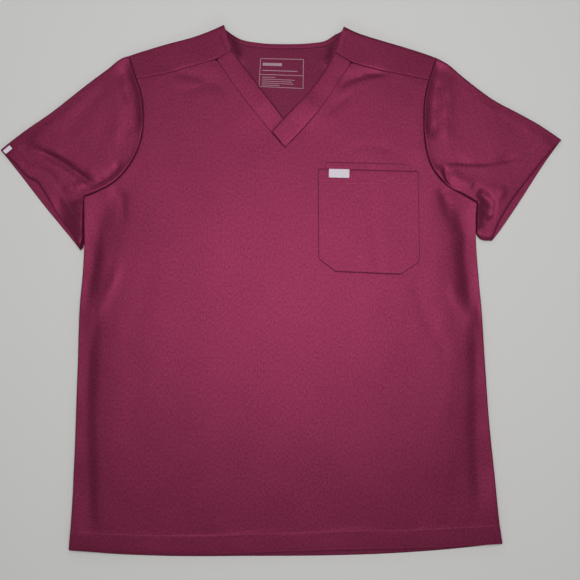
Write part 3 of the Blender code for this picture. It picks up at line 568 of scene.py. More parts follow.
def twill_finish(name, dark, light, metal, gloss):
    """Maroon twill with a slightly mottled yarn: fine diagonal ribs, uneven threads and a soft gloss."""
    made, start, place = finish(name, True)
    yarn = start.scatter(start.stretched(place, (1.0, 0.5, 1.0)), 0.0006, 2.0)
    weft = start.scatter(start.stretched(place, (0.4, 1.0, 1.0)), 0.0005, 2.0)
    fleck = start.scatter(start.stretched(place, (1.0, 0.6, 1.0)), 0.0011, 2.0)
    wash = start.scatter(place, 0.04, 3.0)
    dimple = start.scatter(place, 0.0045, 2.0)
    mottle = yarn * 0.28 + weft * 0.2 + fleck * 0.4 + wash * 0.12
    shade = start.node("ShaderNodeMapRange", {}, {"Value": mottle, "From Min": 0.37, "From Max": 0.63})
    colour = shade.mixed(dark, light)
    rib = start.node("ShaderNodeTexWave", {"wave_type": "BANDS", "bands_direction": "DIAGONAL"},
                     {"Vector": place, "Scale": 520.0, "Distortion": 1.2, "Detail": 2.0,
                      "Detail Scale": 1.4})
    bump = start.node("ShaderNodeBump", {}, {
        "Height": rib * 0.4 + yarn * 0.4 + weft * 0.4 + fleck * 0.45 + dimple * 0.5,
        "Strength": 0.5, "Distance": 0.00012})
    return finished(made, {
        "Base Color": colour, "Roughness": gloss + yarn * 0.06 + wash * 0.05, "Normal": bump,
        "Metallic": metal, "Specular IOR Level": 0.06, "Specular Tint": TWILL_TINT,
        "Sheen Weight": 0.1, "Sheen Roughness": 0.45, "Sheen Tint": TWILL_TINT})


maroon_twill = twill_finish("maroon_twill", (0.112, 0.0135, 0.0365, 1.0), (0.202, 0.0255, 0.0665, 1.0),
                            0.6, 0.39)
twill_inside = twill_finish("maroon_twill_inside", (0.096, 0.013, 0.033, 1.0),
                            (0.17, 0.024, 0.059, 1.0), 0.6, 0.42)


def cloth_piece(name, points, faces, weave, wall, cloth, inside=None):
    """Make a piece of cloth from the points of its outside: a thin wall with soft, rounded edges.

    weave holds each point's place on the flat cloth, in metres. inside is the finish of its wrong side,
    where that differs.
    """
    mesh = bpy.data.meshes.new(name)
    mesh.from_pydata(points.reshape(-1, 3).tolist(), [], faces.tolist())
    corners = np.empty(len(mesh.loops), int)
    mesh.loops.foreach_get("vertex_index", corners)
    mesh.uv_layers.new(name="weave").data.foreach_set("uv", weave.reshape(-1, 2)[corners].ravel())
    mesh.materials.append(cloth)
    piece = bpy.data.objects.new(name, mesh)
    bpy.context.scene.collection.objects.link(piece)
    bpy.ops.object.select_all(action="DESELECT")
    piece.select_set(True)
    bpy.context.view_layer.objects.active = piece
    thick = piece.modifiers.new("wall", "SOLIDIFY")
    thick.thickness, thick.offset = wall, -1
    if inside:
        mesh.materials.append(inside)
        thick.material_offset = 1
    bpy.ops.object.modifier_apply(modifier=thick.name)
    soften = piece.modifiers.new("soft edges", "SUBSURF")
    soften.levels = soften.render_levels = 1
    bpy.ops.object.modifier_apply(modifier=soften.name)
    places = np.empty(len(mesh.vertices) * 3)
    mesh.vertices.foreach_get("co", places)
    places[2::3] = np.maximum(places[2::3], 0)
    mesh.vertices.foreach_set("co", places)
    mesh.shade_smooth()
    return piece


Shoulder = namedtuple("Shoulder", "seam fold out radii inset")
SEAM_LENGTH = 0.118
# columns across a band's end, fine at the row of stitches beside the neck edge
BAND_COLUMNS = (0.0045, 0.0045, 0.0044, *[0.0008] * 7, 0.003, 0.0018, 0.001)


def shoulder(seam_knots, fold_knots, inner_corner):
    """Plan of one folded-over shoulder, from armhole to neck: its forward seam, its fold, the way out
    across the fold, the radius of the fold, and where the fold leaves the floor."""
    outer_part = curve(seam_knots, shares_of(steps_over(SEAM_LENGTH, BACK_STEP, SEAM_STEPS)))
    inner_part = along((seam_knots[-1], inner_corner), shares_of(BAND_COLUMNS))
    seam = np.concatenate([outer_part, inner_part[1:]])
    shares = shares_of(np.linalg.norm(np.diff(seam, axis=0), axis=1))
    seam, fold = drawn_back(np.stack([seam, curve(fold_knots, shares)]))
    out = unit(fold - seam)
    radii = SHOULDER_FOLD + (NECK_FOLD - SHOULDER_FOLD) * shares ** 2
    return Shoulder(seam, fold, out, radii, fold - out * radii[:, None])


SHOULDERS = {
    "left": shoulder(SHOULDER_SEAM_LEFT, SHOULDER_FOLD_LEFT, BAND_LEFT_INNER),
    "right": shoulder(SHOULDER_SEAM_RIGHT, SHOULDER_FOLD_RIGHT, BAND_RIGHT_INNER),
}
ARMHOLES = {"left": ARMHOLE_LEFT, "right": ARMHOLE_RIGHT}
SIDES = {"left": SIDE_LEFT, "right": SIDE_RIGHT}
SHOULDER_ENDS = {"left": SHOULDER_LEFT, "right": SHOULDER_RIGHT}
LAP_STEPS = (0.006, 0.006, 0.006, 0.005, 0.004, 0.003, 0.002, 0.0013, 0.001, 0.0008)
ARMHOLE_SHARES = shares_of(steps_over(0.205, 0.0055, CORNER_STEPS, SEAM_STEPS))


def finer(values, times):
    """The values with more steps between them."""
    return np.interp(np.arange((len(values) - 1) * times + 1) / times, np.arange(len(values)), values)


def armhole(side, times=1):
    """The armhole in plan, from the underarm up to the outer end of the shoulder fold."""
    lower = curve(ARMHOLES[side], finer(ARMHOLE_SHARES, times))
    out = unit(np.subtract(SHOULDER_ENDS[side], ARMHOLES[side][-1]))
    upper = along((ARMHOLES[side][-1], SHOULDER_ENDS[side] - out * SHOULDER_FOLD),
                  finer(shares_of(LAP_STEPS[::-1]), times))
    return np.concatenate([lower, upper[1:]])


def lap_height(points, shares, radii):
    """Height of the underside of a folded-over shoulder, at shares of the way from its fold to its seam."""
    seam_height = upper_height(points) + groove(points)
    return (2 * radii - WALL) * (1 - shares) + seam_height * shares - groove(points)


def armhole_height(side, times=1):
    """Height of the underside of the body's edge at the points of the armhole."""
    edge = armhole(side, times)
    lap = len(LAP_STEPS) * times
    shares = 1 - finer(shares_of(LAP_STEPS[::-1]), times)
    return np.concatenate([upper_height(edge[:-lap]), lap_height(edge[-lap:], shares[1:], SHOULDER_FOLD)])


def rear_neck(steps):
    """The back neck edge, between the inner ends of the two shoulder folds."""
    ends = SHOULDERS["left"].inset[-1], SHOULDERS["right"].inset[-1]
    return curve((ends[0],) + REAR_NECK + (ends[1],), even(steps))


def make_back():
    """The back panel: the layer on the floor, and its shoulders, folded over to the forward seams."""
    left_inset, right_inset = SHOULDERS["left"].inset, SHOULDERS["right"].inset[::-1]
    top = np.concatenate([left_inset, rear_neck(NECK_COLUMNS)[1:-1], right_inset])
    hem = curve(REAR_HEM, shares_of(np.linalg.norm(np.diff(top, axis=0), axis=1)))
    side_shares = shares_of(steps_over(SIDE_LENGTH, BODY_STEP, HEM_STEPS, CORNER_STEPS))
    left, right = (np.concatenate([curve(SIDES[side], side_shares)[:-1], armhole(side)])
                   for side in SIDES)
    grid = drawn_back(patch(hem, top, left, right, 2))
    columns = len(left_inset)
    grid[-1, :columns], grid[-1, -columns:] = left_inset, right_inset
    base = np.arange(grid.shape[0] * grid.shape[1]).reshape(grid.shape[:2])
    from_stitches = np.abs(nearest(grid, edge_line(REAR_HEM))[0]) - HEM_DEPTH
    height = rear_height(grid) + STITCH_ROOM[0] * np.exp(-(from_stitches / STITCH_ROOM[1]) ** 2)
    height[-1] = folded(grid[-1], NECK_RISES)
    points, weave, faces = [raised(grid, height)], [grid], [quads(base)]

    angles = np.radians(np.linspace(-90, 90, ROUND_POINTS))[1:]
    shares = shares_of(LAP_STEPS)[1:, None]
    used = base.size
    for side, order, joined in (("left", slice(None), base[-1, :columns]),
                                ("right", slice(None, None, -1), base[-1, -columns:])):
        seam, fold, out, radii, inset = SHOULDERS[side]
        low = folded(inset, NECK_RISES)
        arc = fold_arc(fold, out, radii, angles, low=low)
        lap = inset + (seam - inset) * shares[..., None]
        over = np.concatenate([arc, raised(lap, lap_height(lap, shares, radii) + WALL)])[:, order]
        first = raised(inset, low)[order]
        reach = np.cumsum(np.linalg.norm(np.diff(np.concatenate([first[None], over]), axis=0), axis=-1),
                          axis=0)
        points.append(over)
        weave.append(first[:, :2] + out[order] * reach[..., None])
        index = used + np.arange(over.size // 3).reshape(over.shape[:2])
        used += index.size
        faces.append(quads(np.concatenate([joined[None], index])))
    points, weave = (np.concatenate([part.reshape(-1, size) for part in parts])
                     for parts, size in ((points, 3), (weave, 2)))
    return cloth_piece("back_panel", points, np.concatenate(faces)[:, ::-1], weave, WALL, maroon_twill,
                       twill_inside)


back_panel = make_back()
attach(back_panel, "root")
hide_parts("back")


# ---------------------------------------------------------------------------------------------------
# Neck facing. A narrow strip of the same twill, turned in along the back neck edge and sewn down to
# the inside of the back with one row of stitches.

FACING_ENDS = (0.05, 0.95)  # shares of the back neck edge between which it runs
FACING_ROWS = (0.0067, 0.006, 0.0045, 0.003, 0.0015, 0.0006, 0)  # of its grid, from that edge
FACING_COLUMNS = 48
FACING_WALL = 0.0009


def flat_piece(name, grid, top, wall, cloth, turn=0.0):
    """A piece that lies as one layer: its plan, the height of its top, and its wall. turn is the angle
    of its grain, in radians."""
    index = np.arange(grid.shape[0] * grid.shape[1]).reshape(grid.shape[:2])
    faces = quads(index)
    (ax, ay), (bx, by) = grid[1, 0] - grid[0, 0], grid[0, 1] - grid[0, 0]
    if bx * ay - by * ax < 0:
        faces = faces[:, ::-1]
    grain = np.array(((math.cos(turn), -math.sin(turn)), (math.sin(turn), math.cos(turn))))
    return cloth_piece(name, raised(grid, top), faces, grid @ grain, wall, cloth)


facing_edge = along(rear_neck(EDGE_SAMPLES),
                    FACING_ENDS[0] + (FACING_ENDS[1] - FACING_ENDS[0]) * even(FACING_COLUMNS))
facing_run = unit(np.gradient(facing_edge, axis=0))
facing_inward = np.stack([facing_run[:, 1], -facing_run[:, 0]], axis=1)
facing_grid = drawn_back(np.stack([facing_edge + facing_inward * (SEAM_GAP + reach)
                                   for reach in FACING_ROWS]))
neck_facing = flat_piece("neck_facing_strip", facing_grid,
                         LAYER + FACING_WALL + folded(facing_grid, NECK_RISES), FACING_WALL, maroon_twill)
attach(neck_facing, "root")
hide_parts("neck_facing")

STITCH_SIZE = (0.0011, 0.00024, 0.00022)  # half its length, width and height
STITCH_PITCH = 0.0029
STITCH_SINK = 0.00004       # how far a stitch's middle lies in the cloth
NEEDLE_HEIGHT = 0.05        # stitches are dropped on the cloth from here
LEAST_UPWARD = 0.4          # a steeper place takes no stitch: the least upward part of its direction
FACING_STITCHES = 0.0058    # from the neck edge to the facing's stitches


def thread_finish():
    """Maroon sewing thread, a little lighter than the cloth, with a fine twist."""
    made, start, place = finish("maroon_thread")
    twist = start.scatter(place, 0.0003)
    colour = twist.mixed((0.105, 0.0135, 0.036, 1.0), (0.2, 0.029, 0.072, 1.0))
    bump = start.node("ShaderNodeBump", {}, {"Height": twist, "Strength": 0.3, "Distance": 0.0001})
    return finished(made, {"Base Color": colour, "Roughness": 0.5, "Normal": bump})


maroon_thread = thread_finish()


def make_stitch():
    """One stitch: a short bead of thread. Returns its points and faces."""
    bpy.ops.object.select_all(action="DESELECT")
    bpy.ops.mesh.primitive_uv_sphere_add(segments=6, ring_count=5, radius=1.0)
    bead = bpy.context.object
    bead.rotation_euler = (0, math.pi / 2, 0)
    bpy.ops.object.transform_apply(location=False, rotation=True, scale=False)
    bead.scale = STITCH_SIZE
    bpy.ops.object.transform_apply(location=False, rotation=False, scale=True)
    points = np.array([vertex.co for vertex in bead.data.vertices])
    faces = [tuple(face.vertices) for face in bead.data.polygons]
    bpy.data.objects.remove(bead)
    return points, faces


STITCH_POINTS, STITCH_FACES = make_stitch()


def stitch_rows(name, pieces, rows, pitch=STITCH_PITCH, below=False):
    """Rows of stitches along lines (x, y), set on the upper side of finished pieces or under them."""
    surfaces = [BVHTree.FromPolygons([vertex.co for vertex in piece.data.vertices],
                                     [face.vertices for face in piece.data.polygons]) for piece in pieces]
    down = -1 if below else 1
    points, faces = [], []
    for row in rows:
        count = max(1, round(travelled(row)[-1] / pitch))
        ends = along(row, even(count))
        for start, end in zip(ends[:-1], ends[1:]):
            x, y = (start + end) / 2
            hits = [surface.ray_cast(Vector((x, y, NEEDLE_HEIGHT * down)), Vector((0, 0, -down)))
                    for surface in surfaces]
            hits = [hit for hit in hits if hit[0] is not None and abs(hit[1].z) > LEAST_UPWARD]
            if not hits:
                continue
            place, normal = max(hits, key=lambda hit: hit[0].z * down)[:2]
            run = Vector((*(end - start), 0)).normalized()
            run = (run - normal * run.dot(normal)).normalized()
            side = normal.cross(run)
            faces += [tuple(corner + len(points) * len(STITCH_POINTS) for corner in face)
                      for face in STITCH_FACES]
            points.append(STITCH_POINTS @ np.array((run, side, normal)) + np.array(place)
                          - np.array(normal) * STITCH_SINK)
    mesh = bpy.data.meshes.new(name)
    mesh.from_pydata(np.concatenate(points).tolist(), [], faces)
    mesh.materials.append(maroon_thread)
    mesh.shade_smooth()
    stitching = bpy.data.objects.new(name, mesh)
    bpy.context.scene.collection.objects.link(stitching)
    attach(stitching, "root")


def beside(line, inside, distance):
    """The line moved sideways by a distance, towards the point inside."""
    turned = across(line, np.broadcast_to(inside, line.shape))
    return line - turned * distance


stitch_rows("facing_stitches", [neck_facing], [facing_edge + facing_inward * FACING_STITCHES])
stitch_rows("shoulder_stitches", [back_panel], [along(row, even(10)) for row in SHOULDER_STITCHES])


# ---------------------------------------------------------------------------------------------------
# Care mark. Pale ink printed on the inside of the back, below the neck: a plain frame with a divider
# and plain bars, through which the twill's ribs show.

PRINT_FRAME = ((-0.0316, 0.28), (0.0309, 0.277), (0.0317, 0.3196), (-0.0296, 0.321))
PRINT_LINE = 0.0008         # width of its lines
PRINT_DIVIDER = 0.435       # the divider's place up the frame
INK_WALL = 0.0001
INK_LEVEL = WALL + 0.00002  # height of the ink's middle
PRINT_BARS = (              # place across and up the frame, length and width
    (0.06, 0.8, 0.44, 0.0042), (0.06, 0.58, 0.8, 0.001),
    (0.06, 0.34, 0.3, 0.0008), (0.06, 0.27, 0.74, 0.0008), (0.06, 0.2, 0.68, 0.0008),
    (0.06, 0.13, 0.72, 0.0008), (0.06, 0.06, 0.4, 0.0008),
)


def in_frame(across_share, up_share):
    """A place in the frame, at shares of its width and height."""
    low_left, low_right, top_right, top_left = np.array(PRINT_FRAME)
    low = low_left + (low_right - low_left) * across_share
    high = top_left + (top_right - top_left) * across_share
    return low + (high - low) * up_share


def printed_line(start, end, width):
    """One printed line: a very thin flat bar of ink on the cloth."""
    run = end - start
    middle = (start + end) / 2
    bpy.ops.mesh.primitive_cube_add(size=1.0, location=(*middle, INK_LEVEL),
                                    rotation=(0, 0, math.atan2(run[1], run[0])))
    bpy.context.object.scale = (np.linalg.norm(run) + PRINT_LINE * 0.5, width, INK_WALL)
    return bpy.context.object


def ink_finish():
    """Pale ink, a little patchy where the twill's ribs show through."""
    made, start, place = finish("pale_ink")
    patches = start.scatter(place, 0.0006, 3.0)
    colour = patches.mixed((0.2, 0.1, 0.14, 1.0), (0.46, 0.32, 0.37, 1.0))
    return finished(made, {"Base Color": colour, "Roughness": 0.7, "Specular IOR Level": 0.2})


bpy.ops.object.select_all(action="DESELECT")
corners = [np.array(corner) for corner in PRINT_FRAME]
lines = [(start, end, PRINT_LINE) for start, end in zip(corners, corners[1:] + corners[:1])]
lines.append((in_frame(0, PRINT_DIVIDER), in_frame(1, PRINT_DIVIDER), PRINT_LINE))
lines += [(in_frame(left, up), in_frame(left + length, up), width)
          for left, up, length, width in PRINT_BARS]
inked = [printed_line(*line) for line in lines]
for line in inked:
    line.select_set(True)
bpy.context.view_layer.objects.active = inked[0]
bpy.ops.object.join()
care_print = bpy.context.object
care_print.name = "care_print"
bpy.ops.object.transform_apply(location=True, rotation=True, scale=True)
care_print.data.materials.append(ink_finish())
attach(care_print, "root")


# ---------------------------------------------------------------------------------------------------
# Front panel. One layer of the twill from the hem to the forward seams, with the V cut out of it. Its
# hem is turned up and sewn with one row of stitches.

FRONT_ROW = 0.0125          # rows of its grid below the armholes
FRONT_COLUMNS = SEAM_STEPS + (0.0036,) * 14 + (0.0057,) * 10  # and columns, from each side inwards
V_COLUMNS = 13              # and on each side of the V


def make_front():
    """The front panel, with the V cut out of its top edge."""
    seam_left, seam_right = (curve(knots, shares_of(FRONT_COLUMNS))
                             for knots in (SHOULDER_SEAM_LEFT, SHOULDER_SEAM_RIGHT))
    v_left, v_right = curve(V_LEFT, even(V_COLUMNS)), curve(V_RIGHT, even(V_COLUMNS))
    top = np.concatenate([seam_left, v_left[1:], v_right[::-1][1:], seam_right[::-1][1:]])
    width = HEM_RIGHT[0] - HEM_LEFT[0]
    middle = ((width - 2 * sum(FRONT_COLUMNS)) / (2 * V_COLUMNS),) * (2 * V_COLUMNS)
    hem = curve(FRONT_HEM, shares_of(FRONT_COLUMNS + middle + FRONT_COLUMNS[::-1]))
    side_shares = shares_of(steps_over(SIDE_LENGTH, FRONT_ROW, HEM_STEPS, CORNER_STEPS))
    left, right = (np.concatenate([curve(SIDES[side], side_shares),
                                   curve(ARMHOLES[side], finer(ARMHOLE_SHARES, 2))[1:]]) for side in SIDES)
    grid = drawn_back(patch(hem, top, left, right, 2))
    return flat_piece("front_panel", grid, upper_height(grid) + WALL, WALL, maroon_twill)


front_panel = make_front()
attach(front_panel, "root")
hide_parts("front")
stitch_rows("hem_stitches", [front_panel], [beside(edge_line(FRONT_HEM), (0, 0), HEM_DEPTH)[1:-1]])
stitch_rows("rear_hem_stitches", [back_panel], [beside(edge_line(REAR_HEM), (0, 0), HEM_DEPTH)[1:-1]],
            below=True)


# ---------------------------------------------------------------------------------------------------
# Neck bands. Two strips of the twill, folded double, sewn to the edges of the V. The right one crosses
# over the left one at its point.

BAND_WALL = 0.0016          # folded double
BAND_SEAM = 0.2             # share of a band's width over which it thickens from its seam
BAND_RISE = (0.35, 0.7)     # shares of the right band's length over which it climbs the left one
BAND_TILTS = (0.0006, 0.0013)       # how much higher their inner edges lie than their seams
BAND_ROLL = 0.0019          # radius of their folded inner edges
V_INNER = (0.004, 0.2319)   # where the inner edges of the bands cross
V_LEFT_INNER = (BAND_LEFT_INNER, V_INNER)
V_RIGHT_INNER = (BAND_RIGHT_INNER, (0.05, 0.283), V_INNER)
BAND_ACROSS = (0.0003, 0.0008, 0.0013, 0.0018, 0.0025, 0.0035, 0.0035, 0.0025, 0.0018, 0.0013, 0.001,
               0.0008)
V_STEPS, V_INNER_STEPS = 42, 30


def meeting_point(run, start, direction):
    """Where a straight line from start meets a straight run between two points."""
    (ax, ay), (bx, by) = run
    run_x, run_y = bx - ax, by - ay
    reach = (((ax - start[0]) * run_y - (ay - start[1]) * run_x)
             / (direction[0] * run_y - direction[1] * run_x))
    return start[0] + direction[0] * reach, start[1] + direction[1] * reach


def make_neck_bands():
    """Both bands, the lower one first."""
    bands = []
    across_band = shares_of(BAND_ACROSS)
    for name, edge, inner_edge, other_edge, lean in (
            ("neck_band_under", V_LEFT, V_LEFT_INNER, V_RIGHT, BAND_TILTS[0]),
            ("neck_band_over", V_RIGHT, V_RIGHT_INNER, V_LEFT, BAND_TILTS[1])):
        crossing = meeting_point(other_edge[1:], V_INNER, np.subtract(V_INNER, inner_edge[-2]))
        inner_line = np.concatenate([curve(inner_edge, even(V_INNER_STEPS)),
                                     along((V_INNER, crossing), even(V_STEPS - V_INNER_STEPS))[1:]])
        outer_line = curve(edge, even(V_STEPS))
        grid = drawn_back(np.stack([outer_line + (inner_line - outer_line) * share
                                    for share in across_band], axis=1))
        inset = np.clip((1 - across_band) * sum(BAND_ACROSS) / BAND_ROLL, 0, 1)
        height = (upper_height(grid) + lean * across_band - BAND_ROLL * (1 - np.sqrt(1 - (1 - inset) ** 2))
                  - (BAND_WALL - WALL) * (1 - ease(across_band / BAND_SEAM)))
        if name == "neck_band_over":
            clear = ease((even(V_STEPS)[:, None] - BAND_RISE[0]) / (BAND_RISE[1] - BAND_RISE[0]))
            height = height + (BAND_WALL + 2 * SEAM_GAP) * clear
        run = grid[-1, 0] - grid[0, 0]
        bands.append(flat_piece(name, grid, height + BAND_WALL, BAND_WALL, maroon_twill,
                                math.atan2(run[1], run[0]) + math.pi / 2))
    return bands


neck_bands = make_neck_bands()
for band, node in zip(neck_bands, ("neck_band_left", "neck_band_right")):
    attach(band, "root")
    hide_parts(node)


# ---------------------------------------------------------------------------------------------------
# Sleeves. Each is one piece of the twill, sewn into a tube and set into its armhole, and lies
# flattened, folded along its top and under the arm. The cuff is turned up and stitched.

SLEEVE_LOFT = 0.0028        # how far its two layers stand apart
CUFF_DEPTH = 0.02           # from the edge to the cuff's stitches
CUFF_FOLD = (WALL + LAYER) / 2      # radius of a fold with both layers pressed together
TOP_FOLD = 0.0021           # and of a sleeve's top fold at the cuff
TOP_REACH = (0.008, 0.017)  # how far from the top fold its height is felt, by the body and further on
TOP_WIDENS = 0.3            # share of the top over which the one grows to the other
SLEEVE_STEP = 0.001         # how far below the body's edge a sleeve starts at the armhole
# Over what width a sleeve comes down from the body, at shares of the armhole's length from the underarm
ARMHOLE_REACH = ((0, 0.0026), (0.08, 0.0045), (0.3, 0.005), (0.42, 0.0022), (0.5, 0.0022), (0.62, 0.0068),
                 (0.88, 0.0074), (1, 0.003))
GROOVE_END = (0.5, 0.1)     # share of the armhole where the turn into the seam ends, and how softly
UNDER_ROLL = 0.0011         # width over which its upper layer comes down to its lower fold
UNDER_OPENS = (0.12, 0.006)         # share of its depth at the underarm, and how far on it is whole
ARMHOLE_BEND_FADE = 3       # how fast the rows of a sleeve straighten away from the armhole
CUFF_LEFT = (-0.3958, 0.1872)
CUFF_RIGHT = (0.3956, 0.202)
CUFF_UNDER_LEFT = (-0.2798, 0.0446)
CUFF_UNDER_RIGHT = (0.2944, 0.058)
CUFF_FRONT_LEFT = (CUFF_UNDER_LEFT, (-0.2897, 0.0631), (-0.3105, 0.0914), (-0.3231, 0.1112),
                   (-0.3345, 0.129), (-0.342, 0.1405), (-0.3579, 0.149), (-0.37, 0.1622), CUFF_LEFT)
CUFF_FRONT_RIGHT = (CUFF_UNDER_RIGHT, (0.3022, 0.0785), (0.3133, 0.0982), (0.3241, 0.1152), (0.3415, 0.138),
                    (0.369, 0.1716), CUFF_RIGHT)
SLEEVE_TOP_LEFT = (SHOULDER_LEFT, (-0.225, 0.3214), (-0.247, 0.3045), (-0.272, 0.2852), (-0.327, 0.2402),
                   (-0.3649, 0.2127), (-0.3825, 0.1987), CUFF_LEFT)
SLEEVE_TOP_RIGHT = (SHOULDER_RIGHT, (0.233, 0.3145), (0.2594, 0.292), (0.303, 0.2584), (0.3378, 0.2392),
                    (0.3664, 0.2225), CUFF_RIGHT)
SLEEVE_UNDER_LEFT = (UNDERARM_LEFT, (-0.2751, 0.095), (-0.2747, 0.07), (-0.2748, 0.054), (-0.2764, 0.0474),
                     CUFF_UNDER_LEFT)
SLEEVE_UNDER_RIGHT = (UNDERARM_RIGHT, (0.2725, 0.093), (0.272, 0.078), (0.2724, 0.0672), (0.278, 0.0604),
                      CUFF_UNDER_RIGHT)
CUFF_REAR_LEFT = (CUFF_UNDER_LEFT, (-0.2871, 0.054), (-0.3088, 0.08), (-0.3287, 0.1037), (-0.3722, 0.1583),
                  CUFF_LEFT)
CUFF_REAR_RIGHT = (CUFF_UNDER_RIGHT, (0.3012, 0.0664), (0.3206, 0.0932), (0.334, 0.1128), (0.374, 0.1729),
                   CUFF_RIGHT)
# Shares of a sleeve's folded top, for the rows to the underarm, past it, and at the cuff
HEAD_ROWS = finer((0, 0.03, 0.07, 0.12, 0.18, 0.25, 0.34, 0.45), 5)
BODY_ROWS = finer((0.45, 0.466, 0.53, 0.6, 0.66, 0.72, 0.78, 0.84, 0.9, 0.95, 1), 4)
CUFF_ROWS = (0.915, 0.945, 0.965, 0.978, 0.987, 0.994, 1)

SLEEVE_FOLDS = (
    # low along the armholes, with a swell beside
    Fold(((-0.207, 0.204), (-0.2068, 0.225), (-0.2078, 0.243), (-0.212, 0.268), (-0.219, 0.293),
          (-0.229, 0.32)), (0.011, 0.011), -0.0026),
    Fold(((-0.223, 0.172), (-0.233, 0.157), (-0.245, 0.1465), (-0.26, 0.1385), (-0.272, 0.134)),
         (0.005, 0.007), -0.0017),
    Fold(((-0.24, 0.295), (-0.23, 0.26), (-0.229, 0.22), (-0.24, 0.19)), (0.007, 0.011), 0.0008),
    Fold(((0.2105, 0.196), (0.2128, 0.225), (0.2137, 0.248), (0.216, 0.27), (0.221, 0.295), (0.229, 0.32)),
         (0.011, 0.0085), -0.0024),
    Fold(((0.24, 0.3), (0.234, 0.26), (0.231, 0.225), (0.233, 0.19)), (0.011, 0.007), 0.0013),
    # on the left one
    Fold(((-0.374, 0.198), (-0.34, 0.1855), (-0.3177, 0.176), (-0.29, 0.159)), (0.003, 0.007), -0.0009),
    Fold(((-0.339, 0.1852), (-0.3177, 0.1758), (-0.2934, 0.1602), (-0.2777, 0.1488), (-0.259, 0.1365)),
         (0.0025, 0.0055), -0.0027),
    Fold(((-0.362, 0.206), (-0.325, 0.189), (-0.296, 0.174), (-0.27, 0.158), (-0.248, 0.15)),
         (0.012, 0.006), 0.001),
    Fold(((-0.312, 0.125), (-0.3095, 0.105), (-0.3054, 0.085), (-0.2993, 0.068), (-0.2877, 0.0504)),
         (0.014, 0.012), -0.0022),
    Fold(((-0.276, 0.1205), (-0.2755, 0.09), (-0.2765, 0.04)), (0.006, 0.016), 0.0046),
    Fold(((-0.369, 0.169), (-0.338, 0.158), (-0.31, 0.141)), (0.005, 0.005), -0.0009),
    Fold(((-0.243, 0.288), (-0.277, 0.244), (-0.311, 0.201)), (0.01, 0.01), -0.0006),
    Fold(((-0.272, 0.145), (-0.286, 0.133), (-0.306, 0.13)), (0.004, 0.006), 0.001),
    # on the right one
    Fold(((0.214, 0.152), (0.2187, 0.1628), (0.2258, 0.1668), (0.244, 0.1682), (0.2721, 0.1665),
          (0.296, 0.168), (0.3143, 0.1712), (0.338, 0.18)), (0.007, 0.0026), -0.0014),
    Fold(((0.227, 0.166), (0.23, 0.157), (0.2313, 0.1465), (0.2364, 0.1365), (0.252, 0.128)),
         (0.0036, 0.0024), -0.0028),
    Fold(((0.22, 0.161), (0.2249, 0.1475), (0.23, 0.1375)), (0.003, 0.0034), 0.0014),
    Fold(((0.236, 0.153), (0.252, 0.142), (0.27, 0.133)), (0.008, 0.005), 0.0012),
    Fold(((0.274, 0.129), (0.286, 0.12), (0.2945, 0.109), (0.293, 0.098), (0.285, 0.086)), (0.0045, 0.0085),
         -0.0029),
    Fold(((0.315, 0.136), (0.305, 0.121), (0.296, 0.105), (0.293, 0.088)), (0.006, 0.006), 0.0006),
    Fold(((0.273, 0.12), (0.2722, 0.095), (0.273, 0.07)), (0.007, 0.006), 0.0034),
    Fold(((0.26, 0.148), (0.29, 0.133), (0.318, 0.125)), (0.008, 0.008), 0.0006),
    Fold(((0.35, 0.205), (0.325, 0.225), (0.298, 0.24)), (0.01, 0.008), -0.0005),
)
SLEEVE = Layer(SLEEVE_LOFT, SLEEVE_FOLDS,
               [(edge_line(cuff), CUFF_DEPTH) for cuff in (CUFF_FRONT_LEFT, CUFF_FRONT_RIGHT)])


def sleeve_height(front, edge, stations, top_radii, side):
    """Height of the underside of a sleeve's upper layer, before it comes down to its lower fold, and how
    near each point is to the top fold, from 0 to 1."""
    height = upper_height(front, SLEEVE)
    from_seam, share = nearest(front, edge)
    held = np.exp(-np.abs(from_seam) / np.interp(share, *np.transpose(ARMHOLE_REACH)))
    rim = 1 - ease((share - GROOVE_END[0]) / GROOVE_END[1])
    seam_height = np.interp(share, travelled(edge) / travelled(edge)[-1],
                            armhole_height(side, 2) + groove(armhole(side, 2)))
    height += (seam_height - SLEEVE_STEP - height) * held
    height -= np.minimum(groove(front) * rim, height - LAYER)
    from_top = np.linalg.norm(front - front[:, -1:], axis=2)
    top_reach = (TOP_REACH[0] + (TOP_REACH[1] - TOP_REACH[0]) * ease(stations / TOP_WIDENS))[:, None]
    near_top = 1 - ease(from_top / top_reach)
    height += (2 * top_radii[:, None] - WALL - height) * near_top
    return height, near_top


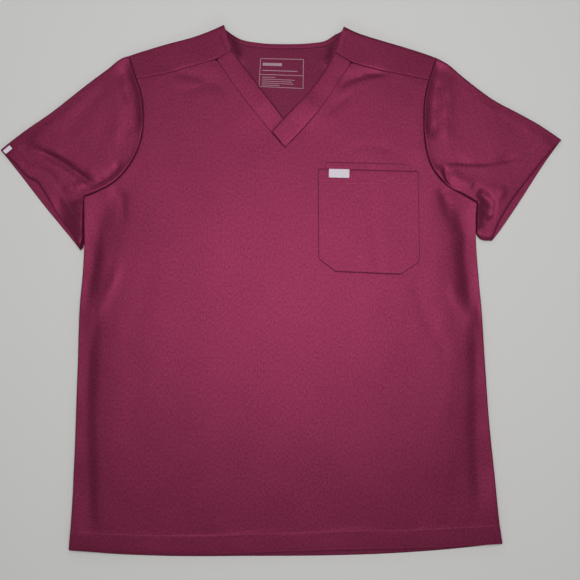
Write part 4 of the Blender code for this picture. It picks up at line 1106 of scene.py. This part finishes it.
def make_sleeve(side, top_knots, under_knots, front_cuff, rear_cuff):
    """A sleeve: its upper and rear layers, joined by two folded edges. Returns also its rows' and columns'
    shares and the points of its upper side, for what is sewn to it."""
    body = np.concatenate([BODY_ROWS[BODY_ROWS < CUFF_ROWS[0]], CUFF_ROWS])
    stations = np.concatenate([HEAD_ROWS, body[1:]])
    underarm = len(HEAD_ROWS) - 1
    edge = armhole(side, 2)
    edge[-1] = SHOULDER_ENDS[side]
    start, seam = edge[underarm:], edge[underarm::-1]
    under = np.concatenate([seam, curve(under_knots, shares_of(np.diff(body)))[1:]])
    around = shares_of(np.linalg.norm(np.diff(start, axis=0), axis=1))
    front, rear = (drawn_back(patch(start, curve(cuff, around), under, curve(top_knots, stations),
                                    ARMHOLE_BEND_FADE), "bottom left") for cuff in (front_cuff, rear_cuff))
    top, under = front[:, -1].copy(), front[underarm:, 0].copy()
    out_top, out_under = across(top, front[:, -2]), across(under, front[underarm:, 1])
    out_top[0] = unit(top[0] - front[0, -2])        # as the shoulder fold that it meets
    top_radii = SHOULDER_FOLD + (TOP_FOLD - SHOULDER_FOLD) * stations
    under_reach = CUFF_FOLD * np.clip(UNDER_OPENS[0] + travelled(under) / UNDER_OPENS[1], 0, 1)
    for layer in (front, rear):
        layer[:, -1] = top - out_top * top_radii[:, None]
        layer[underarm:, 0] = under - out_under * under_reach[:, None]
    height, near_top = sleeve_height(front, edge, stations, top_radii, side)
    from_under = np.linalg.norm(front - front[:, :1], axis=2)[underarm:]
    kept = side_stand(under[:, 1])[:, None]
    height[underarm:] = LAYER + (height[underarm:] - LAYER) * (kept + (1 - kept) * np.sqrt(
        1 - (1 - np.clip(from_under / UNDER_ROLL, 0, 1)) ** 2))
    under_radii = (height[underarm:, 0] + WALL) / 2
    low = rear_height(rear, SLEEVE) * (1 - near_top)
    low[underarm:, 0] = 0

    turning = np.radians(np.linspace(90, -90, ROUND_POINTS))[1:-1]
    parts = (raised(front, height + WALL), fold_arc(top, out_top, top_radii, turning).swapaxes(0, 1),
             raised(rear, low),
             fold_arc(under, out_under, under_radii, turning[::-1], under_reach).swapaxes(0, 1))
    numbers, used = [], 0
    for part in parts:
        numbers.append(used + np.arange(part.shape[0] * part.shape[1]).reshape(part.shape[:2]))
        used += numbers[-1].size
    upper, over_top, lower, over_under = numbers
    strips = (upper, np.concatenate([upper[:, -1:], over_top, lower[:, -1:]], axis=1), lower[:, ::-1],
              np.concatenate([lower[underarm:, :1], over_under, upper[underarm:, :1]], axis=1))
    faces = np.concatenate([quads(strip) for strip in strips])
    if side == "right":
        faces = faces[:, ::-1]
    points = np.concatenate([part.reshape(-1, 3) for part in parts])
    run = unit(np.subtract(top_knots[-1], top_knots[0]))
    weave = np.stack([points[:, :2] @ run, points[:, :2] @ np.array((-run[1], run[0]))], axis=1)
    piece = cloth_piece("sleeve_tube_" + side, points, faces, weave, WALL, maroon_twill)
    return piece, stations, around, parts[0]


right_sleeve = make_sleeve("right", SLEEVE_TOP_RIGHT, SLEEVE_UNDER_RIGHT, CUFF_FRONT_RIGHT, CUFF_REAR_RIGHT)
left_sleeve = make_sleeve("left", SLEEVE_TOP_LEFT, SLEEVE_UNDER_LEFT, CUFF_FRONT_LEFT, CUFF_REAR_LEFT)
for (sleeve, *_), node in ((left_sleeve, "sleeve_left"), (right_sleeve, "sleeve_right")):
    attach(sleeve, "root")
    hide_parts(node)
for name, (sleeve, *_), cuff in (("cuff_stitches_left", left_sleeve, CUFF_FRONT_LEFT),
                                 ("cuff_stitches_right", right_sleeve, CUFF_FRONT_RIGHT)):
    stitch_rows(name, [sleeve], [beside(edge_line(cuff), (0, 0.2), CUFF_DEPTH)])


# ---------------------------------------------------------------------------------------------------
# Sleeve tab. A small tab of pale woven ribbon, left bare. It lies at a slant on the cuff of one sleeve,
# and is sewn into the cuff's turned-up edge.

TAB_WALL = 0.0008
TAB_GRAIN = 0.6             # angle of its ribs, in radians
TAB_ALONG = (0.937, 0.993)  # shares of the sleeve's length and of the way round its upper side
TAB_ROUND = (0.941, 0.983)


def label_finish():
    """Pale woven satin ribbon: close fine ribs and a soft gloss."""
    made, start, place = finish("pale_ribbon", True)
    rib = start.node("ShaderNodeTexWave", {"bands_direction": "Y"},
                     {"Vector": place, "Scale": 900.0, "Distortion": 0.4})
    spots = start.scatter(place, 0.0012)
    colour = (rib * 0.4 + spots * 0.6).mixed((0.5, 0.43, 0.5, 1.0), (0.72, 0.65, 0.72, 1.0))
    bump = start.node("ShaderNodeBump", {}, {"Height": rib + spots, "Strength": 0.4, "Distance": 0.0001})
    return finished(made, {"Base Color": colour, "Roughness": 0.55, "Normal": bump})


pale_ribbon = label_finish()


def tab_points(stations, around, surface):
    """Points of the tab, from the sleeve's own points."""
    lengthwise = TAB_ALONG[0] + (TAB_ALONG[1] - TAB_ALONG[0]) * even(10)
    crosswise = TAB_ROUND[0] + (TAB_ROUND[1] - TAB_ROUND[0]) * even(8)
    rows = np.array([[np.interp(lengthwise, stations, surface[:, column, axis]) for axis in range(3)]
                     for column in range(surface.shape[1])])
    return np.array([[np.interp(crosswise, around, rows[:, axis, place]) for axis in range(3)]
                     for place in range(len(lengthwise))]).swapaxes(1, 2)


tab = tab_points(*left_sleeve[1:])
sleeve_tab = flat_piece("cuff_tab", tab[..., :2], tab[..., 2] + SEAM_GAP + TAB_WALL, TAB_WALL, pale_ribbon,
                        TAB_GRAIN)
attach(sleeve_tab, "root")
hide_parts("sleeve_tab")


# ---------------------------------------------------------------------------------------------------
# Pockets. Two patches of the twill with cut corners, one behind the other. They are stitched to the
# front close to their edges, with bartacks at the ends of their mouths.

POCKET = {
    "bottom": ((0.0755, 0.014), (0.1651, 0.01)),
    "left": ((0.0755, 0.014), (0.0516, 0.0324), (0.0518, 0.1589)),
    "right": ((0.1651, 0.01), (0.1913, 0.0282), (0.1912, 0.1552)),
    "mouth": ((0.0518, 0.1589), (0.1912, 0.1552)),
    "steps": (8, 30),
}
POCKET_INNER = {
    "bottom": ((0.0762, 0.0152), (0.1646, 0.0112)),
    "left": ((0.0762, 0.0152), (0.0528, 0.033), (0.053, 0.138), (0.0622, 0.156), (0.0622, 0.1685)),
    "right": ((0.1646, 0.0112), (0.1901, 0.029), (0.19, 0.138), (0.1811, 0.154), (0.1811, 0.1617)),
    "mouth": ((0.0622, 0.1685), (0.1739, 0.1656), (0.1811, 0.1617)),
    "steps": (8, 24, 6, 5),
}
POCKET_WALL = 0.001
POCKET_COLUMNS = shares_of(steps_over(0.13, 0.0045, SEAM_STEPS[:4], SEAM_STEPS[:4]))

pockets = []
for name, node, outline, layers in (("pocket_behind", "pocket_inner", POCKET_INNER, 1),
                                    ("pocket_front", "pocket", POCKET, 2)):
    bottom, mouth = (along(outline[edge], POCKET_COLUMNS) for edge in ("bottom", "mouth"))
    left, right = (np.concatenate([along(run, even(steps))[first:] for first, run, steps in
                                   zip((0, 1, 1, 1), zip(outline[edge], outline[edge][1:]),
                                       outline["steps"])]) for edge in ("left", "right"))
    grid = patch(bottom, mouth, left, right)
    pocket = flat_piece(name, grid, upper_height(grid) + layers * LAYER + POCKET_WALL, POCKET_WALL,
                        maroon_twill)
    pockets.append(pocket)
    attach(pocket, "root")
    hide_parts(node)


# Rows of stitches: the outer pocket's edge, its mouth's hem, and the corners that show behind
POCKET_SEWN = (
    ((0.053, 0.158), (0.053, 0.033), (0.0761, 0.0155), (0.1646, 0.0116), (0.1899, 0.029),
     (0.1898, 0.1545)),
    ((0.053, 0.1372), (0.19, 0.1372)),
    ((0.0636, 0.16), (0.0636, 0.1672), (0.1733, 0.1643), (0.1795, 0.1608), (0.1795, 0.1565)),
)
# Short rows of close stitches at the ends of the mouths
BARTACKS = (((0.0528, 0.1588), (0.0585, 0.1586)), ((0.185, 0.1554), (0.1905, 0.1552)),
            ((0.174, 0.165), (0.18, 0.1618)))
POCKET_PITCH, BARTACK_PITCH = 0.0027, 0.0007
stitch_rows("pocket_stitches", pockets, [along(row, even(60)) for row in POCKET_SEWN], POCKET_PITCH)
stitch_rows("pocket_bartacks", pockets, [along(row, even(4)) for row in BARTACKS], BARTACK_PITCH)


# ---------------------------------------------------------------------------------------------------
# Pocket label. A small label of the same pale woven ribbon, left bare. It is sewn flat over the hem of
# the outer pocket's mouth.

LABEL_CORNER = (0.0662, 0.1455)     # lower left corner
LABEL_SIZE = (0.0288, 0.0125)
LABEL_TILT = -0.026         # the slope of the pocket's mouth
LABEL_WALL = 0.0007
tilt = np.array(((math.cos(LABEL_TILT), math.sin(LABEL_TILT)),
                 (-math.sin(LABEL_TILT), math.cos(LABEL_TILT))))
label_x, label_y = np.meshgrid(even(16) * LABEL_SIZE[0], even(8) * LABEL_SIZE[1])
label_grid = np.stack([label_x, label_y], axis=-1) @ tilt + LABEL_CORNER
label_height = upper_height(label_grid) + 3 * LAYER + LABEL_WALL
pocket_label = flat_piece("pocket_label_woven", label_grid, label_height, LABEL_WALL, pale_ribbon,
                          LABEL_TILT)
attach(pocket_label, "root")
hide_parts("pocket_label")
